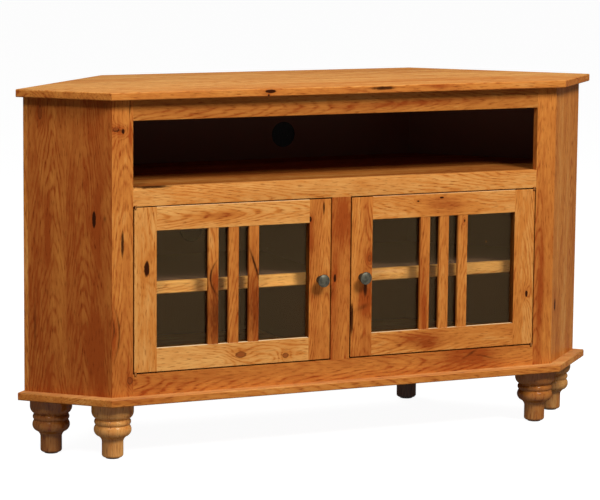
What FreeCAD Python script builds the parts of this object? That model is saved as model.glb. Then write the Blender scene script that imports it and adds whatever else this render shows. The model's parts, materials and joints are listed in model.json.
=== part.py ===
import FreeCAD, Part
import os
import re

import Sketcher

# Corner cabinet for a television: an open bay over two glazed, slatted doors, on six turned feet.
# Millimetres, +Z up. The front faces -Y. The origin is on the floor, at the middle of the cabinet's box.
# Seen from above, the carcass has a long front, two sides at 45 degrees, two wall sides and a short back.
# In each piece's own frame Y is zero on the front face of the carcass and grows towards the back.

SIZES = (
    # Plan of the carcass
    ("front_width", 1164),
    ("side_run", 158),
    ("body_depth", 476),
    ("top_overhang", 25),
    ("base_overhang", 28),
    ("wall_overhang", 6),
    ("base_wall_overhang", 3),
    # Heights of the front, from the base board up
    ("base_thickness", 18),
    ("bottom_rail_height", 51),
    ("door_opening_height", 390),
    ("middle_rail_height", 44),
    ("open_bay_height", 153),
    ("top_rail_height", 49),
    ("top_thickness", 18),
    ("edge_round", 3),
    # Boards of the carcass
    ("frame_thickness", 19),
    ("face_stile_width", 52),
    ("center_stile_width", 50),
    ("side_thickness", 19),
    ("back_thickness", 12),
    ("deck_thickness", 19),
    ("divider_thickness", 19),
    ("dado_depth", 6),
    ("cleat_size", 22),
    ("side_cleat_length", 112),
    ("cable_hole_radius", 32),
    ("cable_hole_rise", 60),
    ("cable_hole_spread", 190),
    ("bay_hole_offset", 60),
    # Joints of the face frame
    ("frame_tenon_length", 22),
    ("frame_tenon_thickness", 7),
    ("frame_tenon_shoulder", 6),
    ("stile_tenon_length", 16),
    # Loose shelves behind the doors
    ("shelf_rise", 204),
    ("shelf_thickness", 19),
    ("shelf_setback", 48),
    ("shelf_clearance", 2),
    ("nosing_height", 28),
    ("nosing_depth", 19),
    ("nosing_round", 3),
    ("pin_radius", 2.5),
    ("pin_hole_depth", 8),
    ("pin_reach", 11),
    ("pin_spacing", 32),
    ("pin_inset", 60),
    # Doors
    ("door_gap", 2.5),
    ("door_thickness", 19),
    ("door_stile_width", 56),
    ("door_rail_height", 55),
    ("door_tenon_length", 32),
    ("door_tenon_thickness", 8),
    ("door_tenon_width", 34),
    ("door_tenon_setback", 8),
    ("rabbet_width", 9),
    ("glass_setback", 10),
    ("glass_thickness", 4),
    ("glass_play", 0.5),
    ("slat_width", 26),
    ("slat_gap", 25.5),
    ("slat_setback", 1),
    ("slat_tenon_length", 8),
    ("slat_tenon_thickness", 5),
    ("slat_tenon_width", 18),
    # Knobs
    ("knob_radius", 14.4),
    ("knob_projection", 28),
    ("knob_rim_height", 4.5),
    ("knob_rim_swell", 0.9),
    ("knob_dome_height", 3),
    ("knob_dome_swell", 0.8),
    ("knob_tip_radius", 2),
    ("knob_rose_radius", 9),
    ("knob_rose_height", 3),
    ("knob_rose_edge", 1.5),
    ("knob_rose_swell", 0.4),
    ("knob_neck_radius", 5.5),
    ("knob_neck_height", 6),
    ("knob_neck_cove", 0.7),
    ("knob_screw_radius", 2),
    ("knob_screw_grip", 13),
    ("knob_screw_head_radius", 4.5),
    ("knob_screw_head_height", 2.5),
    # Knife hinges, let into the ends of the doors and into the rails above and below them
    ("hinge_leaf_length", 45),
    ("hinge_leaf_width", 9),
    ("hinge_leaf_thickness", 2.5),
    ("hinge_leaf_setback", 5),
    ("hinge_eye_radius", 3),
    ("hinge_reach", 1),
    ("hinge_pin_radius", 1.6),
    ("hinge_running_gap", 0.05),
    ("hinge_collar_radius", 2.7),
    ("hinge_collar_gap", 0.1),
    ("cut_overrun", 1),
    # Magnetic catches and the steel plates that they hold
    ("catch_width", 42),
    ("catch_depth", 15),
    ("catch_height", 14),
    ("catch_shoulder", 5),
    ("catch_gap", 0.3),
    ("strike_width", 32),
    ("strike_height", 11),
    ("strike_thickness", 1.5),
    # Turned feet, from the tip up
    ("foot_height", 130),
    ("foot_radius", 49.5),
    ("foot_tip_radius", 19),
    ("foot_tip_height", 6),
    ("foot_tip_swell", 1.8),
    ("ankle_radius", 25.2),
    ("ankle_height", 38),
    ("cove_height", 13.5),
    ("cove_swell", 2.2),
    ("bead_foot_radius", 36.5),
    ("bead_height", 24.5),
    ("bead_swell", 5.6),
    ("valley_radius", 40),
    ("fillet_height", 1.5),
    ("ring_height", 13),
    ("ring_swell", 3),
    ("cup_height", 15),
    ("cup_swell", 2.2),
    ("foot_inset", 72),
    ("foot_wall_inset", 51),
    ("glide_radius", 16),
    ("glide_thickness", 3),
    ("foot_bolt_radius", 4),
    ("foot_bolt_grip", 40),
    ("foot_bolt_end", 10),
    ("foot_nut_radius", 7.5),
    ("foot_nut_height", 6.5),
)

# Places worked out from the sizes. Names ending in share are plain ratios of a 45 degree plan.
PLACES = {
    "slant_share": "sqrt(0.5)",
    "mitre_share": "sqrt(2) - 1",
    "front_y": "(base_overhang - wall_overhang - body_depth) / 2",
    "half_front": "front_width / 2",
    "side_corner": "half_front + side_run",
    "back_half": "half_front + 2 * side_run - body_depth",
    "inner_front_x": "half_front + frame_thickness - side_thickness / slant_share",
    "inner_side_x": "side_corner - (side_thickness + back_thickness) * slant_share",
    "inner_side_y": "side_run + (side_thickness - back_thickness) * slant_share",
    "inner_back_x": "back_half - back_thickness * mitre_share",
    "inner_back_y": "body_depth - back_thickness",
    "wall_end_x": "side_corner - back_thickness * slant_share",
    "wall_end_y": "side_run - back_thickness * slant_share",
    "base_bottom": "glide_thickness + foot_height",
    "base_top": "base_bottom + base_thickness",
    "floor_top": "base_top + bottom_rail_height",
    "door_head": "floor_top + door_opening_height",
    "deck_top": "door_head + middle_rail_height",
    "deck_bottom": "deck_top - deck_thickness",
    "bay_head": "deck_top + open_bay_height",
    "carcass_top": "bay_head + top_rail_height",
    "carcass_height": "carcass_top - base_top",
    "opening_half": "half_front - face_stile_width",
    "center_half": "center_stile_width / 2",
    "divider_half": "divider_thickness / 2",
    "door_inner": "center_half + door_gap",
    "door_outer": "opening_half - door_gap",
    "door_middle": "(door_inner + door_outer) / 2",
    "door_bottom": "floor_top + door_gap",
    "door_top": "door_head - door_gap",
    "sight_inner": "door_inner + door_stile_width",
    "sight_outer": "door_outer - door_stile_width",
    "sight_bottom": "door_bottom + door_rail_height",
    "sight_top": "door_top - door_rail_height",
    "glass_back": "glass_setback + glass_thickness",
    "knob_x": "door_inner + door_stile_width / 2",
    "knob_z": "(door_bottom + door_top) / 2",
    "hinge_x": "door_outer - hinge_eye_radius",
    "shelf_top": "floor_top + shelf_rise",
    "shelf_bottom": "shelf_top - shelf_thickness",
    "shelf_pin_z": "shelf_bottom - pin_radius",
    "base_corner_x": "side_corner + (base_overhang + base_wall_overhang) * slant_share",
    "base_corner_y": "side_run - (base_overhang - base_wall_overhang) * slant_share",
}

LEFT, RIGHT = -1, 1
SIDES = {"left": LEFT, "right": RIGHT}
PLANES = {"plan": "XY_Plane", "front": "XZ_Plane"}

doc = FreeCAD.newDocument("CornerCabinet")
sheet = doc.addObject("Spreadsheet::Sheet", "Sizes")
for row, (name, value) in enumerate(SIZES, 1):
    sheet.set(f"A{row}", name)
    sheet.set(f"B{row}", str(value))
    sheet.setAlias(f"B{row}", name)
doc.recompute()

size_names = {name for name, value in SIZES}
pieces = []


def formula(text):
    """The text as a sheet expression, with each size and each place spelled out."""

    def spell(found):
        word = found.group()
        if word in size_names:
            return f"Sizes.{word}"
        return f"({formula(PLACES[word])})" if word in PLACES else word

    return re.sub(r"[a-z][a-z_]*", spell, text)


def number(text):
    return float(sheet.evalExpression(formula(text)))


def bind(thing, where, text):
    thing.setExpression(where, formula(text))


def keep(label, thing):
    """Make a thing one of the cabinet's pieces."""
    thing.Label = label
    pieces.append(thing)
    return thing


def place(thing, x="0", y="0", z="0"):
    """Put a thing at a place, with y counted from the front face of the carcass."""
    for axis, text in (("x", x), ("y", f"front_y + {y}"), ("z", z)):
        bind(thing, f"Placement.Base.{axis}", text)
    return thing


def turn(thing, axis, degrees):
    thing.Placement = FreeCAD.Placement(FreeCAD.Vector(), FreeCAD.Rotation(axis, degrees))
    return thing


def on(side, text):
    """A distance from the middle plane as an X on that side."""
    return f"{side} * ({text})"


def flipped(corners, side):
    return [(on(side, x), *rest) for x, *rest in corners]


def both_sides(corners):
    """A whole outline from its right half, listed from front to back."""
    return flipped(corners, RIGHT) + flipped(reversed(corners), LEFT)


def rectangle(x_low, x_high, y_low, y_high):
    return [(x_low, y_low), (x_high, y_low), (x_high, y_high), (x_low, y_high)]


def new_body(label):
    return place(doc.addObject("PartDesign::Body", label))


def new_sketch(body, name, view, depth):
    """A sketch in plan at a height, or in front view at a depth behind the front face."""
    sketch = body.newObject("Sketcher::SketchObject", name)
    plane = next(f for f in body.Origin.OriginFeatures if f.Role == PLANES[view])
    sketch.AttachmentSupport = [(plane, "")]
    sketch.MapMode = "FlatFace"
    bind(sketch, "AttachmentOffset.Base.z", depth if view == "plan" else f"-({depth})")
    return sketch


def hold(sketch, constraint, text):
    index = sketch.addConstraint(constraint)
    bind(sketch, f"Constraints[{index}]", text)


def draw(sketch, corners):
    """Close an outline through the corners. A corner's third entry swells the edge after it into an arc."""
    spots = [FreeCAD.Vector(number(corner[0]), number(corner[1]), 0) for corner in corners]
    ends = []
    for here, corner in enumerate(corners):
        there = (here + 1) % len(corners)
        start, end = spots[here], spots[there]
        if len(corner) == 2:
            sketch.addGeometry(Part.LineSegment(start, end))
            ends.append((1, 2))
            continue
        swell = corner[2]
        outward = (end - start).cross(FreeCAD.Vector(0, 0, 1)).normalize()
        middle = (start + end) / 2 + outward * number(swell)
        edge = sketch.addGeometry(Part.Arc(start, middle, end))
        ends.append((1, 2) if number(swell) > 0 else (2, 1))
        run, rise = (f"({corners[there][axis]} - ({corner[axis]}))" for axis in (0, 1))
        radius = f"({run}^2 + {rise}^2) / (8 * abs({swell})) + abs({swell}) / 2"
        hold(sketch, Sketcher.Constraint("Radius", edge, number(radius)), radius)
    for here, corner in enumerate(corners):
        before = here - 1 if here else len(corners) - 1
        sketch.addConstraint(Sketcher.Constraint("Coincident", before, ends[before][1], here, ends[here][0]))
        for kind, text, value in zip(("DistanceX", "DistanceY"), corner, spots[here]):
            hold(sketch, Sketcher.Constraint(kind, -1, 1, here, ends[here][0], value), text)


def draw_circle(sketch, x, y, radius):
    center = FreeCAD.Vector(number(x), number(y), 0)
    edge = sketch.addGeometry(Part.Circle(center, FreeCAD.Vector(0, 0, 1), number(radius)))
    hold(sketch, Sketcher.Constraint("Radius", edge, number(radius)), radius)
    hold(sketch, Sketcher.Constraint("DistanceX", -1, 1, edge, 3, center.x), x)
    hold(sketch, Sketcher.Constraint("DistanceY", -1, 1, edge, 3, center.y), y)


def pad(body, name, view, corners, depth, length):
    """Thicken an outline upwards from its plan, or backwards from its front view."""
    sketch = new_sketch(body, f"{name}_outline", view, depth)
    draw(sketch, corners)
    feature = body.newObject("PartDesign::Pad", name)
    feature.Profile = sketch
    feature.Reversed = view == "front"
    bind(feature, "Length", length)
    return feature


def pocket(body, name, sketch, length):
    """Cut a drawn outline downwards from its plan, or backwards from its front view."""
    feature = body.newObject("PartDesign::Pocket", name)
    feature.Profile = sketch
    bind(feature, "Length", length)
    return feature


def revolve(body, name, view, corners):
    """Turn half a profile about the line where its first coordinate is zero."""
    sketch = new_sketch(body, f"{name}_profile", view, "0")
    draw(sketch, corners)
    feature = body.newObject("PartDesign::Revolution", name)
    feature.Profile = sketch
    feature.ReferenceAxis = (sketch, ["V_Axis"])
    feature.Angle = 360
    return feature


def round_edges(body, feature, radius, chosen):
    doc.recompute()
    names = [f"Edge{count}" for count, edge in enumerate(feature.Shape.Edges, 1) if chosen(edge)]
    rounding = body.newObject("PartDesign::Fillet", f"{feature.Name}_round")
    rounding.Base = (feature, names)
    bind(rounding, "Radius", radius)


def rod(name, radius, length):
    cylinder = doc.addObject("Part::Cylinder", name)
    bind(cylinder, "Radius", radius)
    bind(cylinder, "Height", length)
    return cylinder


def batten(name, length, width, height):
    box = doc.addObject("Part::Box", name)
    for where, text in (("Length", length), ("Width", width), ("Height", height)):
        bind(box, where, text)
    return box


def group(name, things):
    compound = doc.addObject("Part::Compound", name)
    compound.Links = things
    return compound


def fuse(name, base, tool):
    joined = doc.addObject("Part::Fuse", name)
    joined.Base, joined.Tool = base, tool
    return joined


def cut(label, blank, *tools):
    """A finished piece: its blank with room for each tool."""
    for tool in tools:
        cutting = doc.addObject("Part::Cut", f"{label}_cut")
        cutting.Base, cutting.Tool = blank, tool
        blank = cutting
    return keep(label, blank)


# Turned feet, their fixings and glides

def foot_places():
    front = ("half_front + (base_overhang - foot_inset) * mitre_share", "foot_inset - base_overhang")
    side = (
        "base_corner_x - (foot_inset + foot_wall_inset) * slant_share",
        "base_corner_y + (foot_inset - foot_wall_inset) * slant_share",
    )
    back = (
        "back_half + (base_wall_overhang - foot_wall_inset) * mitre_share",
        "body_depth + base_wall_overhang - foot_wall_inset",
    )
    for row, (x, y) in (("front", front), ("side", side), ("back", back)):
        for hand, side in SIDES.items():
            yield f"{row}_{hand}", on(side, x), y


def foot_profile():
    """Half of a foot: tip, straight ankle, cove, large bead, small ring and a cup under the base."""
    bead_low = "ankle_height + cove_height"
    ring_low = f"{bead_low} + bead_height + fillet_height"
    cup_low = f"{ring_low} + ring_height + fillet_height"
    return [
        ("0", "0"),
        ("foot_tip_radius", "0", "foot_tip_swell"),
        ("ankle_radius", "foot_tip_height"),
        ("ankle_radius", "ankle_height", "-cove_swell"),
        ("bead_foot_radius", bead_low, "bead_swell"),
        ("valley_radius", f"{bead_low} + bead_height"),
        ("valley_radius", ring_low, "ring_swell"),
        ("valley_radius", f"{ring_low} + ring_height"),
        ("valley_radius", cup_low, "cup_swell"),
        ("foot_radius", f"{cup_low} + cup_height"),
        ("foot_radius", "foot_height"),
        ("0", "foot_height"),
    ]


def feet():
    """Six feet, with a bolt up into the base board, a nut on it and a glide under each."""
    bolts, nuts, glides = [], [], []
    for name, x, y in foot_places():
        bolt = rod(f"{name}_bolt", "foot_bolt_radius", "foot_bolt_grip + base_thickness + foot_bolt_end")
        bolts.append(place(bolt, x, y, "base_bottom - foot_bolt_grip"))
        nut = doc.addObject("Part::Prism", f"{name}_nut")
        bind(nut, "Circumradius", "foot_nut_radius")
        bind(nut, "Height", "foot_nut_height")
        nut = place(nut, x, y, "base_top")
        threaded = doc.addObject("Part::Cut", f"{name}_threaded_nut")
        threaded.Base, threaded.Tool = nut, bolt
        nuts.append(threaded)
        glides.append(place(rod(f"{name}_glide", "glide_radius", "glide_thickness"), x, y))
        blank = place(new_body(f"{name}_foot_blank"), x, y, "glide_thickness")
        revolve(blank, f"{name}_foot_turning", "front", foot_profile())
        cut(f"{name}_foot", blank, bolt)
    keep("foot_nuts", group("foot_nuts", nuts))
    keep("foot_glides", group("foot_glides", glides))
    return keep("foot_bolts", group("foot_bolts", bolts))


# Top and base

def overhanging_plan(overhang, wall):
    """Plan of a board that overhangs the front and sides, and the walls by less."""
    return both_sides([
        (f"half_front + {overhang} * mitre_share", f"-{overhang}"),
        (
            f"side_corner + ({overhang} + {wall}) * slant_share",
            f"side_run - ({overhang} - {wall}) * slant_share",
        ),
        (f"back_half + {wall} * mitre_share", f"body_depth + {wall}"),
    ])


def overhanging_board(label, overhang, wall, height, thickness):
    """A board over or under the carcass, with its front and side edges rounded."""
    board = new_body(label)
    slab = pad(board, f"{label}_slab", "plan", overhanging_plan(overhang, wall), height, thickness)
    side_depth = number("side_run")

    def shows(edge):
        return edge.BoundBox.ZLength < edge.Length / 2 and edge.CenterOfMass.y < side_depth

    round_edges(board, slab, "edge_round", shows)
    return board


# Panels of the carcass

def inner_plan(inset):
    """Right half of the plan inside the panels, from front to back, let into the sides by an inset."""
    return [
        (f"inner_front_x + {inset} / slant_share", "frame_thickness"),
        (f"inner_side_x + {inset} * slant_share", f"inner_side_y - {inset} * slant_share"),
        ("inner_back_x", "inner_back_y"),
    ]


def level_panel(label, top):
    """The deck or the floor, let into grooves in both side panels."""
    panel = keep(label, new_body(label))
    pad(panel, f"{label}_slab", "plan", both_sides(inner_plan("dado_depth")),
        f"{top} - deck_thickness", "deck_thickness")
    return panel


def side_panel(hand, side, levels, pin_holes):
    blank = new_body(f"{hand}_side_panel_blank")
    corners = [
        ("half_front", "0"),
        ("wall_end_x", "wall_end_y"),
        ("inner_side_x", "inner_side_y"),
        ("inner_front_x", "frame_thickness"),
    ]
    pad(blank, f"{hand}_side_slab", "plan", flipped(corners, side), "base_top", "carcass_height")
    cut(f"{hand}_side_panel", blank, *levels, pin_holes)


def wall_panel(hand, side, pin_holes):
    """A back panel along one wall. Its square end laps the side panel's rear edge."""
    blank = new_body(f"{hand}_wall_panel_blank")
    corners = [
        ("side_corner", "side_run"),
        ("back_half", "body_depth"),
        ("inner_back_x", "inner_back_y"),
        ("wall_end_x", "wall_end_y"),
    ]
    pad(blank, f"{hand}_wall_slab", "plan", flipped(corners, side), "base_top", "carcass_height")
    cut(f"{hand}_wall_panel", blank, pin_holes)


def center_back_panel():
    """The short back, with one cable hole for the open bay and one for each cupboard."""
    panel = keep("center_back_panel", new_body("center_back_panel"))
    corners = both_sides([("inner_back_x", "inner_back_y"), ("back_half", "body_depth")])
    pad(panel, "center_back_slab", "plan", corners, "base_top", "carcass_height")
    holes = new_sketch(panel, "cable_hole_outlines", "front", "inner_back_y")
    draw_circle(holes, "bay_hole_offset", "deck_top + cable_hole_rise", "cable_hole_radius")
    for side in SIDES.values():
        draw_circle(holes, on(side, "cable_hole_spread"), "shelf_top + cable_hole_rise", "cable_hole_radius")
    pocket(panel, "cable_holes", holes, "back_thickness")


def center_divider(pin_holes):
    blank = new_body("center_divider_blank")
    corners = rectangle("-divider_half", "divider_half", "frame_thickness", "inner_back_y")
    pad(blank, "center_divider_slab", "plan", corners, "floor_top", "deck_bottom - floor_top")
    cut("center_divider", blank, pin_holes)


def top_cleats():
    """Battens inside the top edge, through which the top is held down."""
    low = "carcass_top - cleat_size"
    front = batten("front_cleat", "2 * opening_half", "cleat_size", "cleat_size")
    back = batten("back_cleat", "2 * inner_back_x - 2 * cleat_size", "cleat_size", "cleat_size")
    cleats = [
        place(front, "-opening_half", "frame_thickness", low),
        place(back, "cleat_size - inner_back_x", "inner_back_y - cleat_size", low),
    ]
    from_rear = "(side_run + side_cleat_length * slant_share) / 2"
    for hand, side in SIDES.items():
        spans = ("side_cleat_length", "cleat_size")
        length, width = spans if side == RIGHT else reversed(spans)
        flat = turn(batten(f"{hand}_cleat", length, width, "cleat_size"), FreeCAD.Vector(0, 0, 1), 45)
        place(flat, on(side, f"inner_side_x - {from_rear}"), f"inner_side_y - {from_rear}", low)
        cleats.append(flat)
    keep("top_cleats", group("top_cleats", cleats))


# Shelves

def shelf_plan(front):
    """Right half of a shelf's plan from a front line back, clear of the panels and the divider."""
    play = "shelf_clearance"
    inner = f"divider_half + {play}"
    side_x = f"inner_side_x - {play} / slant_share"
    return {
        "inner": inner,
        "outer_front": (f"{side_x} - inner_side_y + {front}", front),
        "outer_side": (side_x, "inner_side_y"),
        "outer_back": (f"inner_back_x - {play} * mitre_share", f"inner_back_y - {play}"),
    }


def shelf(hand, side):
    """A loose shelf board with a deeper nosing glued to its front edge."""
    nosing_back = "shelf_setback + nosing_depth"
    plan = shelf_plan(nosing_back)
    board = keep(f"{hand}_shelf", new_body(f"{hand}_shelf"))
    corners = [
        (plan["inner"], nosing_back),
        plan["outer_front"],
        plan["outer_side"],
        plan["outer_back"],
        (plan["inner"], plan["outer_back"][1]),
    ]
    pad(board, f"{hand}_shelf_slab", "plan", flipped(corners, side), "shelf_bottom", "shelf_thickness")
    strip_plan = shelf_plan("shelf_setback")
    strip = keep(f"{hand}_shelf_nosing", new_body(f"{hand}_shelf_nosing"))
    corners = [
        (plan["inner"], "shelf_setback"),
        strip_plan["outer_front"],
        plan["outer_front"],
        (plan["inner"], nosing_back),
    ]
    slab = pad(strip, f"{hand}_nosing_slab", "plan", flipped(corners, side),
               "shelf_top - nosing_height", "nosing_height")
    front_line = number("shelf_setback + nosing_round")

    def shows(edge):
        return edge.BoundBox.ZLength < edge.Length / 2 and edge.BoundBox.YMax < front_line

    round_edges(strip, slab, "nosing_round", shows)


def pin_spots(side):
    """Where shelf pins stand on one side: panel, x, y and the turn of the pin from +X into the cupboard."""
    yield "divider", on(side, "divider_half"), "shelf_setback + pin_inset", 90 - side * 90
    yield "divider", on(side, "divider_half"), "inner_back_y - pin_inset", 90 - side * 90
    half_side = "(side_run / 2)"
    yield "side", on(side, f"inner_side_x - {half_side}"), f"inner_side_y - {half_side}", 90 + side * 45
    wall_x, wall_y = "(inner_side_x + inner_back_x) / 2", "(inner_side_y + inner_back_y) / 2"
    yield "wall", on(side, wall_x), wall_y, -90 - side * 45


def level_rod(name, radius, length, heading):
    """A rod along the heading, counted in degrees from +X."""
    lying = rod(name, radius, length)
    aim = FreeCAD.Rotation(FreeCAD.Vector(0, 0, 1), FreeCAD.Vector(1, 0, 0))
    lying.Placement = FreeCAD.Placement(
        FreeCAD.Vector(), FreeCAD.Rotation(FreeCAD.Vector(0, 0, 1), heading) * aim)
    return lying


def shelf_pins():
    """Pins under both shelves, and the drilled rows that let a shelf go up or down a step."""
    holes = {"divider": [], "left_side": [], "right_side": [], "left_wall": [], "right_wall": []}
    pins = []
    for hand, side in SIDES.items():
        for panel, x, y, heading in pin_spots(side):
            drilled = holes[panel if panel == "divider" else f"{hand}_{panel}"]
            for step in (-1, 0, 1):
                drill = level_rod("pin_hole", "pin_radius", "pin_hole_depth", heading + 180)
                drilled.append(place(drill, x, y, f"shelf_pin_z + {step} * pin_spacing"))
            pin = fuse(
                "shelf_pin",
                place(level_rod("pin_reach", "pin_radius", "pin_reach", heading), x, y, "shelf_pin_z"),
                place(level_rod("pin_root", "pin_radius", "pin_hole_depth", heading + 180),
                      x, y, "shelf_pin_z"),
            )
            pins.append(pin)
    keep("shelf_pins", group("shelf_pins", pins))
    return {panel: group(f"{panel}_pin_holes", drills) for panel, drills in holes.items()}


# Face frame

def center_face_stile():
    stile = keep("center_face_stile", new_body("center_face_stile"))
    low, high = "floor_top", "door_head"
    pad(stile, "center_stile_slab", "front", rectangle("-center_half", "center_half", low, high),
        "0", "frame_thickness")
    shoulder = "(center_half - frame_tenon_shoulder)"
    tenon = rectangle(f"-{shoulder}", shoulder, f"{low} - stile_tenon_length", f"{high} + stile_tenon_length")
    pad(stile, "center_stile_tenon", "front", tenon,
        "(frame_thickness - frame_tenon_thickness) / 2", "frame_tenon_thickness")
    return stile


def face_rail(label, low, high, *tools):
    """A rail between the outer stiles, with a tenon at each end."""
    blank = new_body(f"{label}_blank")
    pad(blank, f"{label}_slab", "front", rectangle("-opening_half", "opening_half", low, high),
        "0", "frame_thickness")
    reach = "(opening_half + frame_tenon_length)"
    tenon = rectangle(f"-{reach}", reach, f"{low} + frame_tenon_shoulder", f"{high} - frame_tenon_shoulder")
    pad(blank, f"{label}_tenon", "front", tenon,
        "(frame_thickness - frame_tenon_thickness) / 2", "frame_tenon_thickness")
    return cut(label, blank, *tools)


def face_stile(hand, side, rails):
    """An outer stile, mitred to the side panel behind it."""
    blank = new_body(f"{hand}_face_stile_blank")
    corners = [
        ("opening_half", "0"),
        ("half_front", "0"),
        ("inner_front_x", "frame_thickness"),
        ("opening_half", "frame_thickness"),
    ]
    pad(blank, f"{hand}_stile_slab", "plan", flipped(corners, side), "base_top", "carcass_height")
    cut(f"{hand}_face_stile", blank, *rails)


# Knife hinges

def hinge_leaf(name, side, low, bore):
    """A flat leaf that reaches forward to an eye in front of the door's face, plain and bored."""
    plate = new_body(f"{name}_plate")
    eye, reach = "hinge_eye_radius", "hinge_reach"
    swell = f"{side} * {eye} * (1 - slant_share)"
    leaf_back = "hinge_leaf_setback + hinge_leaf_width"
    corners = [
        (f"hinge_x - {eye}", "hinge_leaf_setback"),
        (f"hinge_x - {eye}", f"-{reach}", swell),
        ("hinge_x", f"-{reach} - {eye}", swell),
        (f"hinge_x + {eye}", f"-{reach}"),
        (f"hinge_x + {eye}", leaf_back),
        ("hinge_x - hinge_leaf_length", leaf_back),
        ("hinge_x - hinge_leaf_length", "hinge_leaf_setback"),
    ]
    pad(plate, f"{name}_slab", "plan", flipped(corners, side), low, "hinge_leaf_thickness")
    leaf = doc.addObject("Part::Cut", name)
    leaf.Base, leaf.Tool = plate, bore
    return plate, leaf


def hinge_parts(hand, side):
    """Both hinges of a door: frame leaves, pins with a collar in the gap, and bored door leaves."""
    thick, gap = "hinge_leaf_thickness", "hinge_collar_gap"
    at, forward = on(side, "hinge_x"), "(-hinge_reach)"
    ends = {
        "top": ("door_head", f"door_top - {thick}", f"door_top - {thick} + {gap}", f"door_top + {gap}"),
        "bottom": (f"floor_top - {thick}", "door_bottom", f"floor_top - {thick}", "floor_top"),
    }
    frame_leaves, pins, door_leaves = [], [], []
    for end, (frame_low, door_low, pin_low, collar_low) in ends.items():
        name = f"{hand}_{end}"
        shaft = rod(f"{name}_pin_shaft", "hinge_pin_radius", f"2 * {thick} + door_gap - {gap}")
        place(shaft, at, forward, pin_low)
        collar = rod(f"{name}_pin_collar", "hinge_collar_radius", f"door_gap - {gap}")
        place(collar, at, forward, collar_low)
        pins.append(fuse(f"{name}_pin", shaft, collar))
        bore = rod(f"{name}_bore", "hinge_pin_radius + hinge_running_gap", f"{thick} + 2 * cut_overrun")
        place(bore, at, forward, f"{door_low} - cut_overrun")
        frame_leaves.append(hinge_leaf(f"{name}_frame_leaf", side, frame_low, shaft))
        door_leaves.append(hinge_leaf(f"{name}_door_leaf", side, door_low, bore))
    return frame_leaves, pins, door_leaves


def hinge_set(label, leaves):
    """Keep the bored leaves as one piece, and return their plain plates to cut their seats with."""
    keep(label, group(label, [leaf for plate, leaf in leaves]))
    return group(f"{label}_seats", [plate for plate, leaf in leaves])


# Doors

def door_rail(label, side, low, high, tenon_low, rabbet_low, slats):
    """A door rail with a tenon at each end and a rabbet for the glass behind its inner edge."""
    blank = new_body(f"{label}_blank")
    pad(blank, f"{label}_slab", "front", flipped(rectangle("sight_inner", "sight_outer", low, high), side),
        "0", "door_thickness")
    tenon = rectangle("sight_inner - door_tenon_length", "sight_outer + door_tenon_length",
                      tenon_low, f"{tenon_low} + door_tenon_width")
    pad(blank, f"{label}_tenon", "front", flipped(tenon, side),
        "(door_thickness - door_tenon_thickness) / 2", "door_tenon_thickness")
    rabbet = new_sketch(blank, f"{label}_rabbet_outline", "front", "glass_setback")
    corners = rectangle("sight_inner", "sight_outer", rabbet_low, f"{rabbet_low} + rabbet_width")
    draw(rabbet, flipped(corners, side))
    pocket(blank, f"{label}_rabbet", rabbet, "door_thickness - glass_setback")
    return cut(label, blank, *slats)


def door_stile(label, side, x_low, x_high, rabbet_low, *tools):
    """A door stile with a stopped rabbet, mortised for the rails and for the tools."""
    blank = new_body(f"{label}_blank")
    pad(blank, f"{label}_slab", "front", flipped(rectangle(x_low, x_high, "door_bottom", "door_top"), side),
        "0", "door_thickness")
    rabbet = new_sketch(blank, f"{label}_rabbet_outline", "front", "glass_setback")
    corners = rectangle(rabbet_low, f"{rabbet_low} + rabbet_width",
                        "sight_bottom - rabbet_width", "sight_top + rabbet_width")
    draw(rabbet, flipped(corners, side))
    pocket(blank, f"{label}_rabbet", rabbet, "door_thickness - glass_setback")
    cut(label, blank, *tools)


def door_slat(label, side, count):
    """An upright bar in front of the glass, with a stub tenon in each rail."""
    slat = keep(label, new_body(label))
    middle = f"door_middle + {count} * (slat_width + slat_gap)"
    pad(slat, f"{label}_slab", "front",
        flipped(rectangle(f"{middle} - slat_width / 2", f"{middle} + slat_width / 2",
                          "sight_bottom", "sight_top"), side),
        "slat_setback", "glass_setback - slat_setback")
    tenon = rectangle(f"{middle} - slat_tenon_width / 2", f"{middle} + slat_tenon_width / 2",
                      "sight_bottom - slat_tenon_length", "sight_top + slat_tenon_length")
    pad(slat, f"{label}_tenon", "front", flipped(tenon, side),
        "(glass_setback - slat_tenon_thickness) / 2", "slat_tenon_thickness")
    return slat


def door_glass(hand, side):
    edge = "(rabbet_width - glass_play)"
    pane = keep(f"{hand}_door_glass", new_body(f"{hand}_door_glass"))
    corners = rectangle(f"sight_inner - {edge}", f"sight_outer + {edge}",
                        f"sight_bottom - {edge}", f"sight_top + {edge}")
    pad(pane, f"{hand}_pane", "front", flipped(corners, side), "glass_setback", "glass_thickness")


def glass_stops(hand, side):
    """Four strips in the rabbet that hold the glass from behind."""
    low, high = "sight_bottom - rabbet_width", "sight_top + rabbet_width"
    strips = {
        "inner": rectangle("sight_inner - rabbet_width", "sight_inner", low, high),
        "outer": rectangle("sight_outer", "sight_outer + rabbet_width", low, high),
        "low": rectangle("sight_inner", "sight_outer", low, "sight_bottom"),
        "high": rectangle("sight_inner", "sight_outer", "sight_top", high),
    }
    stops = []
    for name, corners in strips.items():
        strip = new_body(f"{hand}_{name}_stop")
        pad(strip, f"{hand}_{name}_stop_slab", "front", flipped(corners, side),
            "glass_back", "door_thickness - glass_back")
        stops.append(strip)
    keep(f"{hand}_glass_stops", group(f"{hand}_glass_stops", stops))


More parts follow.
